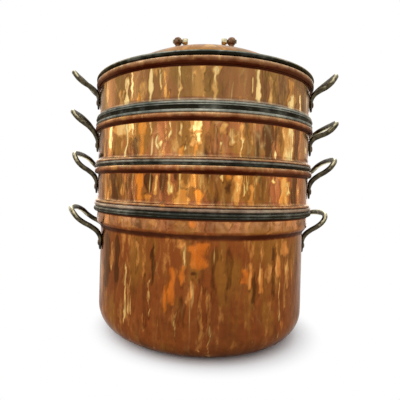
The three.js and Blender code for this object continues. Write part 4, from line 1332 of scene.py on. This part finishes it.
def lid_outline():
    """Down the dome's outside, over the brim and its rolled edge, and back up the inside."""
    half = LID_RIM_HEIGHT / 2
    crest = RIM_RADIUS - half
    return np.concatenate([
        dome_stretch(0, 60, False, beaten=0.6),
        straight((DOME_RADIUS + 1 * MM, BRIM), (crest - 3 * MM, BRIM), 3, tin=(0.6, 1.0)),
        bow((crest, LID_SEAT + half), (half, half), 90, 14, 8, tin=1.0),
        # the lower side of the roll and the brim's underside are darkened by painted shade
        bow((crest, LID_SEAT + half), (half, half), 5, -90, 10, tin=1.0, tarnish=(0.8, 1.0)),
        straight((crest - 1 * MM, LID_SEAT), (WALL_RADIUS, LID_SEAT), 1, tin=1.0, tarnish=0.6),
        straight((WALL_RADIUS, LID_SEAT + SHEET), (WALL_RADIUS, BRIM - SHEET), 1, tin=1.0),
        dome_stretch(SHEET, 24, True, tin=1.0),
    ])


LID_MARKS = {"wide": 14 * MM, "tall": 16 * MM, "flatness": (0.4, 0.5), "seed": 8}
# the lid's panels are painted reflections, and its bright one is a painted highlight
LID_PANELS = [(140, 160, 0.1, 0.75, "brown"), (150, 170, 0.3, 0.8, "warm"), (176, 184, 0.2, 0.7, "gold"),
              (188, 198, 0.4, 0.85, "warm"), (205, 222, 0.3, 0.85, "bright"), (224, 232, 0.2, 0.7, "gold"),
              (240, 262, 0.1, 0.7, "brown")]
LID_WEAR_AND_REFLECTIONS = {"low": BRIM, "high": BRIM + DOME_RISE, "radius": DOME_RADIUS, "seed": 40, "spans": [],
            "listed": LID_PANELS}
lid = turned("lid_copper", lid_outline(), closed=False, marks=LID_MARKS, wear_and_reflections=LID_WEAR_AND_REFLECTIONS)
place_on(lid, "lid", ["lid_dome"], COPPERS["lid"])

# %% [markdown]
# ## The ring under the lid
# A tinned ring under the brim drops into the top steamer's mouth and keeps the lid there. It is a plain
# band, so its outline is two straight lines.

# %% Lid ring
def spigot_outline():
    """The outside of the ring upwards, and its inside down again."""
    low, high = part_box("lid_spigot")
    return np.concatenate([
        straight((SPIGOT_RADIUS, low.z), (SPIGOT_RADIUS, high.z), 4, tin=1.0, tarnish=0.3),
        straight((SPIGOT_INSIDE, high.z), (SPIGOT_INSIDE, low.z), 4, tin=1.0, tarnish=0.3),
    ])


place_on(turned("lid_ring", spigot_outline()), "lid", ["lid_spigot"], TINNED)

# %% [markdown]
# ## Bars along a path
# Handles and the bail are bars that were drawn out and bent. A bar is an oval carried along a smooth
# curve: at each step the oval stands square to the curve, with one half-width sideways and another
# outwards. Where the half-widths shrink to nothing, the bar closes.

# %% Curves and bars
BAR_COLUMNS = 28


def curve_through(points, count):
    """A smooth curve through points (centripetal Catmull-Rom): each stretch is a mix of the straight
    lines through its two points and their neighbours, weighted by nearness."""
    points = np.array([2 * points[0] - points[1], *points, 2 * points[-1] - points[-2]])
    knots = np.concatenate([[0], np.cumsum(np.linalg.norm(np.diff(points, axis=0), axis=1) ** 0.5)])
    t = np.linspace(knots[1], knots[-2], count)
    i = np.clip(np.searchsorted(knots, t, side="right") - 1, 1, len(points) - 3)

    def mix(first, second, start, end):
        """first * (1 - s) + second * s, with the share s from one knot to another."""
        share = ((t - knots[i + start]) / (knots[i + end] - knots[i + start]))[:, None]
        return first * (1 - share) + second * share

    lines = [mix(points[i + n], points[i + n + 1], n, n + 1) for n in (-1, 0, 1)]
    return mix(mix(lines[0], lines[1], -1, 1), mix(lines[1], lines[2], 0, 2), 0, 1)


def bar(path, outwards, half_wide, half_deep):
    """Points of an oval carried along a path, path + wide * cos(a) * sideways + deep * sin(a) * outwards,
    and the angle a of each point, 90 degrees outwards."""
    ahead = unit(np.gradient(path, axis=0))
    outwards = unit(outwards - np.sum(outwards * ahead, axis=1)[:, None] * ahead)
    sideways = np.cross(ahead, outwards)
    angle = np.linspace(0, 2 * np.pi, BAR_COLUMNS, endpoint=False)
    wide = (half_wide[:, None] * np.cos(angle))[:, :, None] * sideways[:, None, :]
    deep = (half_deep[:, None] * np.sin(angle))[:, :, None] * outwards[:, None, :]
    return path[:, None, :] + wide + deep, np.broadcast_to(angle, (len(path), BAR_COLUMNS))


def add_bars(name, bars):
    """One mesh from the grids of points of one or more bars, each with how rubbed its points are."""
    flat = [points.reshape(-1, 3) for points, _ in bars]
    starts = np.cumsum([0] + [len(points) for points in flat])
    faces = [outward(points, grid_faces(*grid.shape[:2], False, True)) + start
             for points, (grid, _), start in zip(flat, bars, starts)]
    polish = np.concatenate([np.broadcast_to(rubbed, grid.shape[:2]).ravel() for grid, rubbed in bars])
    return add_mesh(name, np.concatenate(flat), np.concatenate(faces), {"polish": polish})


def turn_about_z(points, degrees):
    """Points turned about the stack's axis: (x cos a - y sin a, x sin a + y cos a, z)."""
    turn = np.radians(degrees)
    spin = np.array([[np.cos(turn), -np.sin(turn), 0], [np.sin(turn), np.cos(turn), 0], [0, 0, 1]])
    return points @ spin.T


print("points round a bar:", BAR_COLUMNS)

# %% [markdown]
# ## The path of a handle
# Each handle is one brass casting. From a palm that is riveted to the wall it swings away from the wall in
# an S and bends over to the second palm. A few points give its middle line, as shares of the way from the
# palm's top to the bend, so the same curve fits every vessel.

# %% Handle path
PALM_ANGLE = 15.0
PALM_LENGTH = 25 * MM
PALM_THICKNESS = 4 * MM
BEND_HALF = 5.0 * MM
HANDLE_STEPS = 260
# shares of the way from a palm's top to the bend: outwards, inwards along Y, and upwards
LEG_CURVE = [(0.09, 0, 0.12), (0.29, 0, 0.32), (0.49, 0, 0.46), (0.67, 0.01, 0.63), (0.81, 0.10, 0.82),
             (0.94, 0.44, 0.96)]


def handle_path(wall, palm_top, reach, top, lean=0.0):
    """The middle line of the right-hand handle of a wall of that radius. palm_top and top are the heights
    of the palms' tops and of the bend, and reach its outside. lean raises the leg at the back and lowers
    the one in front, most of all half way out: by lean * sin(pi * share)."""
    turn = np.radians(PALM_ANGLE)
    off_axis = wall + PALM_THICKNESS / 2 + GAP
    start = np.array([off_axis * np.cos(turn), off_axis * np.sin(turn), palm_top])
    bend = np.array([reach - BEND_HALF, 0, top - BEND_HALF])
    leg = [start - [0, 0, PALM_LENGTH * down] for down in (1.0, 0.6, 0.2)]
    leg += [start + (bend - start) * share for share in LEG_CURVE]
    mirrored = [point * [1, -1, 1] for point in leg][::-1]
    path = curve_through([*leg, bend, *mirrored], HANDLE_STEPS)
    out = np.clip((path[:, 0] - start[0]) / (bend[0] - start[0]), 0, 1)
    path[:, 2] += lean * np.sin(np.pi * out) * path[:, 1] / start[1]
    return path


print("points that lead a leg:", 3 + len(LEG_CURVE))

# %% [markdown]
# ## The surface of a handle
# The whole handle is one surface: the palm is a leaf whose width grows and shrinks like a sine, and then
# runs on as the bar's width, a little thicker towards the bend. The palm's back is filed to the wall. Where
# a hand holds the bar, the brass is rubbed bright, and a painted highlight lies on the bend's outside and
# in a line along the bar's sides, while the legs stay dark.

# %% Handle surface
PALM_WIDTH = 17 * MM
LEG_HALF = 4.2 * MM
TIP_ROUND = 1.5 * MM
BAR_START, BAR_BLEND = 20 * MM, 8 * MM
THICKER_LENGTH = 26 * MM
# half the thickness at some distances from the palm's tip
PALM_PLACES = [0, 8 * MM, 18 * MM, 30 * MM]
PALM_HALVES = [1.3 * MM, 2.3 * MM, 3.4 * MM, LEG_HALF]
FILED_OFF_WALL = 0.25 * MM
RUBBED_AND_LIT_LENGTH = 34 * MM
SIDE_HIGHLIGHT_LENGTH = 62 * MM


def handle_halves(from_tip, to_middle):
    """Half the width and half the thickness along a handle. The leaf's is width / 2 * sin(pi (0.1 + 0.7 s)),
    with s as the share of the palm's length, and the bar's is a bell round its middle. A round end closes
    both."""
    leaf = PALM_WIDTH / 2 * np.sin(np.pi * (0.1 + 0.7 * np.clip(from_tip / PALM_LENGTH, 0, 1)))
    is_bar = np.clip((from_tip - BAR_START) / BAR_BLEND, 0, 1)
    bar_half = LEG_HALF + (BEND_HALF - LEG_HALF) * np.exp(-(to_middle / THICKER_LENGTH) ** 2)
    closing = np.sqrt(1 - (1 - np.clip(from_tip / TIP_ROUND, 0, 1)) ** 2)
    half_deep = np.interp(from_tip, PALM_PLACES, PALM_HALVES)
    half_deep = np.where(from_tip > PALM_PLACES[-1], bar_half, half_deep)
    return (leaf * (1 - is_bar) + bar_half * is_bar) * closing, half_deep * closing


def handle_points(wall, path):
    """A handle's surface along its middle line, and how rubbed each point is, with painted highlights: a bell
    along the bar, most of all outside, where the bend is rubbed and lit by a painted highlight, plus a
    broader painted highlight line on its two sides. Points that would lie in the wall are moved out of it."""
    along = along_of(path)
    to_middle = np.abs(along - along[-1] / 2)
    halves = handle_halves(np.minimum(along, along[-1] - along), to_middle)
    points, angle = bar(path, unit(path * [1, 1, 0]), *halves)
    off_axis = np.linalg.norm(points[..., :2], axis=-1, keepdims=True)
    short = np.maximum((wall + FILED_OFF_WALL) / off_axis, 1)
    points = np.concatenate([points[..., :2] * short, points[..., 2:]], axis=-1)
    held_and_lit = np.exp(-(to_middle / RUBBED_AND_LIT_LENGTH) ** 2)[:, None] * (0.62 + 0.5 * np.sin(angle))
    # a painted highlight line along the bar's sides, which face the front and the back
    sides = np.abs(np.cos(angle)) ** 8 * np.exp(-(to_middle / SIDE_HIGHLIGHT_LENGTH) ** 4)[:, None]
    return points, held_and_lit + 0.6 * sides


print("a palm is", round(PALM_WIDTH / MM), "mm wide and a leg", round(2 * LEG_HALF / MM, 1), "mm thick")

# %% [markdown]
# ## The handles
# Every vessel has a pair. The solids have them all alike, but use has bent the real ones, so each one's
# reach, top and lean are read from the photograph. The pot stands turned a little under the steamers, and
# its handles with it.

# %% Handles
POT_TURN = 7.7
POT_PALM_TOP = POT_WALL_TOP - 13 * MM
HANDLE_DROPS = {"steamer_1": 19.5 * MM, "steamer_2": 23 * MM, "steamer_3": 21 * MM}
PALM_TOPS = {base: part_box(f"{base}_wall")[1].z - HANDLE_DROPS[base] for base in STEAMERS}
# reach, top and lean of each bend, in millimetres
BENDS = {"pot": {"right": (230, 209), "left": (234.5, 209.3)},
         "steamer_1": {"right": (235.5, 304), "left": (235, 306.5, -1.5)},
         "steamer_2": {"right": (237, 367.5, 3), "left": (240.5, 381.5, 4)},
         "steamer_3": {"right": (234, 448.5, 3), "left": (240, 451.5)}}


def make_handles(base, wall, palm_top, turn=0.0):
    """A vessel's pair of handles: the left one is a right-hand one turned half round the axis."""
    for side, degrees in (("right", turn), ("left", turn + 180)):
        path = handle_path(wall, palm_top, *[value * MM for value in BENDS[base][side]])
        points, rubbed = handle_points(wall, path)
        handle = add_bars(f"{base}_grip_{side}", [(turn_about_z(points, degrees), rubbed)])
        place_on(handle, base, [f"{base}_handle_{side}"], BRASS)


make_handles("pot", POT_RADIUS, POT_PALM_TOP, POT_TURN)
for base in STEAMERS:
    make_handles(base, WALL_RADIUS, PALM_TOPS[base])

# %% [markdown]
# ## The rivets
# One copper rivet goes through each palm and the wall, with its flat end inside and a low domed head
# outside. A rivet is turned like a vessel, and then laid down so that its axis points out of the wall.

# %% Rivets
RIVET_DROP = 13 * MM
RIVET_HEAD = 5 * MM
RIVET_RISE = 1.9 * MM
RIVET_SHANK = 2.6 * MM
RIVET_COLUMNS = 24


def rivet_outline():
    """A rivet along its own axis, 0 at the wall's outside: flat end, shank and a domed head."""
    inside, on_palm = -SHEET - 0.3 * MM, PALM_THICKNESS + 0.5 * MM
    return np.concatenate([
        stretch_of([(0, inside)]),
        straight((RIVET_SHANK, inside), (RIVET_SHANK, on_palm), 1),
        bow((0, on_palm), (RIVET_HEAD, RIVET_RISE), 0, 90, 8, polish=(0.0, 0.25)),
    ])


def lay_rivet(points, wall, height, bearing):
    """Points of an upright rivet laid along X at the wall and turned to its bearing: (z + wall, x, y)."""
    laid = np.column_stack([points[:, 2] + wall, points[:, 0], points[:, 1] + height])
    return turn_about_z(laid, bearing)


def make_rivets(base, wall, palm_top, turn=0.0):
    """The four rivets of a vessel, one through each palm. The back one is at +Y on both sides."""
    for side, opposite in (("right", 0), ("left", 180)):
        for end, sign in (("back", 1), ("front", -1)):
            bearing = (sign if side == "right" else -sign) * PALM_ANGLE + opposite + turn
            name = f"rivet_{side}_{end}"
            rivet = turned(f"{base}_{name}_head", rivet_outline(), closed=False, columns=RIVET_COLUMNS,
                           place=lambda points: lay_rivet(points, wall, palm_top - RIVET_DROP, bearing))
            place_on(rivet, base, [f"{base}_{name}"], OLD_COPPER)


make_rivets("pot", POT_RADIUS, POT_PALM_TOP, POT_TURN)
for base in STEAMERS:
    make_rivets(base, WALL_RADIUS, PALM_TOPS[base])

# %% [markdown]
# ## The posts
# Two ball-headed posts stand on the dome and carry the bail's ends. Each post is turned from one rod: a
# foot that follows the dome, a thin stem and a ball. The foot is turned too deep and then cut to the dome,
# by lifting every point that would lie under the dome's skin.

# %% Posts
POST_BALL = 8 * MM
POST_STEM = 4.5 * MM
POST_FOOT = 11 * MM
POST_SINK = 4 * MM
POST_COLUMNS = 48
POST_X = (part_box("lid_post_right")[1].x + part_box("lid_post_right")[0].x) / 2
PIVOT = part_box("lid_post_right")[1].z - POST_BALL


def post_outline():
    """Foot, stem and ball, from the middle of the foot's underside up."""
    surface = BRIM + dome_height(POST_X)
    bottom = surface - POST_SINK
    neck = np.degrees(np.arccos(POST_STEM / POST_BALL))
    return np.concatenate([
        stretch_of([(0, bottom)]),
        straight((POST_FOOT * 0.5, bottom), (POST_FOOT, bottom), 2),
        straight((POST_FOOT, surface), (POST_FOOT, surface + 1.5 * MM), 1),
        bow((POST_STEM, surface + 2 * MM), (POST_FOOT - POST_STEM, 3 * MM), 0, 80, 6),
        straight((POST_STEM, surface + 6 * MM), (POST_STEM, PIVOT - POST_BALL * 0.85), 2),
        # the ball is rubbed, and has a painted highlight that grows towards its top
        bow((0, PIVOT), (POST_BALL, POST_BALL), -neck, 90, 20, polish=(0.0, 0.5)),
    ])


def stand_on_dome(points, x):
    """Points of a post moved to that x, with none lower than 0.1 mm over the dome."""
    moved = points + [x, 0, 0]
    skin = BRIM + dome_height(np.hypot(moved[:, 0], moved[:, 1])) + 0.1 * MM
    return np.column_stack([moved[:, :2], np.maximum(moved[:, 2], skin)])


for side, x in (("left", -POST_X), ("right", POST_X)):
    post = turned(f"lid_knob_{side}", post_outline(), closed=False, columns=POST_COLUMNS,
                  place=lambda points: stand_on_dome(points, x))
    place_on(post, "lid", [f"lid_post_{side}"], OLD_COPPER)

# %% [markdown]
# ## The bail
# The bail is a brass rod bent to a flat U. At each end it has a collar, and a thin journal that runs
# through the ball. It is drawn flat, with its pivot on the X axis, and then hung: turned down to where it
# lies on the dome, and lifted to the pivot.

# %% Bail path
BAIL_REACH = 62 * MM
BAIL_CORNER = 16 * MM
BAIL_HANG = np.radians(25.5)
COLLAR_END = POST_X - POST_BALL - GAP
COLLAR_START = COLLAR_END - 10 * MM
BAIL_LEG_X = (COLLAR_START + COLLAR_END) / 2


def bail_path():
    """The rod's middle line in its own plane: leg, corner, hand bar and back again. The legs start on the
    pivot's axis, inside the collars."""
    turn = np.radians(np.linspace(0, 90, 20))
    corner = np.column_stack([BAIL_LEG_X - BAIL_CORNER * (1 - np.cos(turn)),
                              BAIL_REACH - BAIL_CORNER * (1 - np.sin(turn)), 0 * turn])
    leg_y = np.linspace(0, BAIL_REACH - BAIL_CORNER, 16)[:-1]
    leg = np.column_stack([BAIL_LEG_X + 0 * leg_y, leg_y, 0 * leg_y])
    half = np.concatenate([leg, corner])
    bar_x = np.linspace(BAIL_LEG_X - BAIL_CORNER, -(BAIL_LEG_X - BAIL_CORNER), 20)[1:-1]
    middle = np.column_stack([bar_x, BAIL_REACH + 0 * bar_x, 0 * bar_x])
    return np.concatenate([half, middle, (half * [-1, 1, 1])[::-1]])


def hang(points):
    """Points turned about X by the hang, down to the dome, and lifted to the pivot."""
    y, z = points[..., 1], points[..., 2]
    sine, cosine = np.sin(-BAIL_HANG), np.cos(-BAIL_HANG)
    return np.stack([points[..., 0], y * cosine - z * sine, y * sine + z * cosine + PIVOT], axis=-1)


print("pivot at", round(PIVOT, 4), "and legs at x", round(BAIL_LEG_X, 4))

# %% [markdown]
# ## The bail's rod and collars
# The rod follows its path, and both collars are turned about the pivot's own axis. The CAD model has all
# three as one solid, so they go into one mesh. The hand bar is rubbed bright at its middle.

# %% Bail
BAIL_ROD = 3.5 * MM
BAIL_COLLAR = 5.5 * MM
COLLAR_COLUMNS = 32


def collar_points(side):
    """A collar and its journal turned about X, (x, r cos a, r sin a), on the side 1 or -1."""
    end, edge = POST_X + POST_BALL + 1 * MM, BAIL_COLLAR * 0.8
    x = [COLLAR_START, COLLAR_START, COLLAR_START + 1 * MM, COLLAR_END - 1 * MM, COLLAR_END, COLLAR_END,
         end, end]
    radius = [0, edge, BAIL_COLLAR, BAIL_COLLAR, edge, BAIL_ROD, BAIL_ROD, 0]
    angle = np.linspace(0, 2 * np.pi, COLLAR_COLUMNS, endpoint=False)
    grid_x = side * np.outer(x, np.ones(COLLAR_COLUMNS))
    return np.stack([grid_x, np.outer(radius, np.cos(angle)), np.outer(radius, np.sin(angle))], axis=-1)


def make_bail():
    """The rod and, at each end, a collar with its journal, as one mesh. The rod closes at both ends."""
    path = bail_path()
    up = np.tile([0.0, 0.0, 1.0], (len(path), 1))
    thick = np.full(len(path), BAIL_ROD)
    thick[[0, -1]] = 0
    rod, _ = bar(path, up, thick, thick)
    to_middle = np.abs(path[:, 0]) / BAIL_LEG_X
    rubbed = np.where(path[:, 1] > BAIL_REACH - BAIL_CORNER, 0.8 - 0.4 * to_middle, 0.25)
    return add_bars("bail_rod", [(hang(rod), rubbed[:, None]),
                                 *[(hang(collar_points(side)), 0.45) for side in (1, -1)]])


place_on(make_bail(), "bail", ["bail"], BRASS)

# %% [markdown]
# ## Hoops
# The iron hoops lie inside the rolled rims, where nobody sees them. The CAD model's own hoops stay, with
# an iron finish of their own.

# %% Hoops
hoops = [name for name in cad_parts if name.endswith("_hoop")]
for name in hoops:
    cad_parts[name].data.materials.clear()
    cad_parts[name].data.materials.append(IRON)
print("hoops:", hoops)

# %% [markdown]
# ## The dressed part's box
# The box round the dressed part must agree with the CAD model's box. Both are written down, so that anyone
# can compare them.

# %% Sizes of the dressed part, and the end
low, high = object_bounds()
print("dressed part:", [round(v, 4) for v in (*low, *high)])
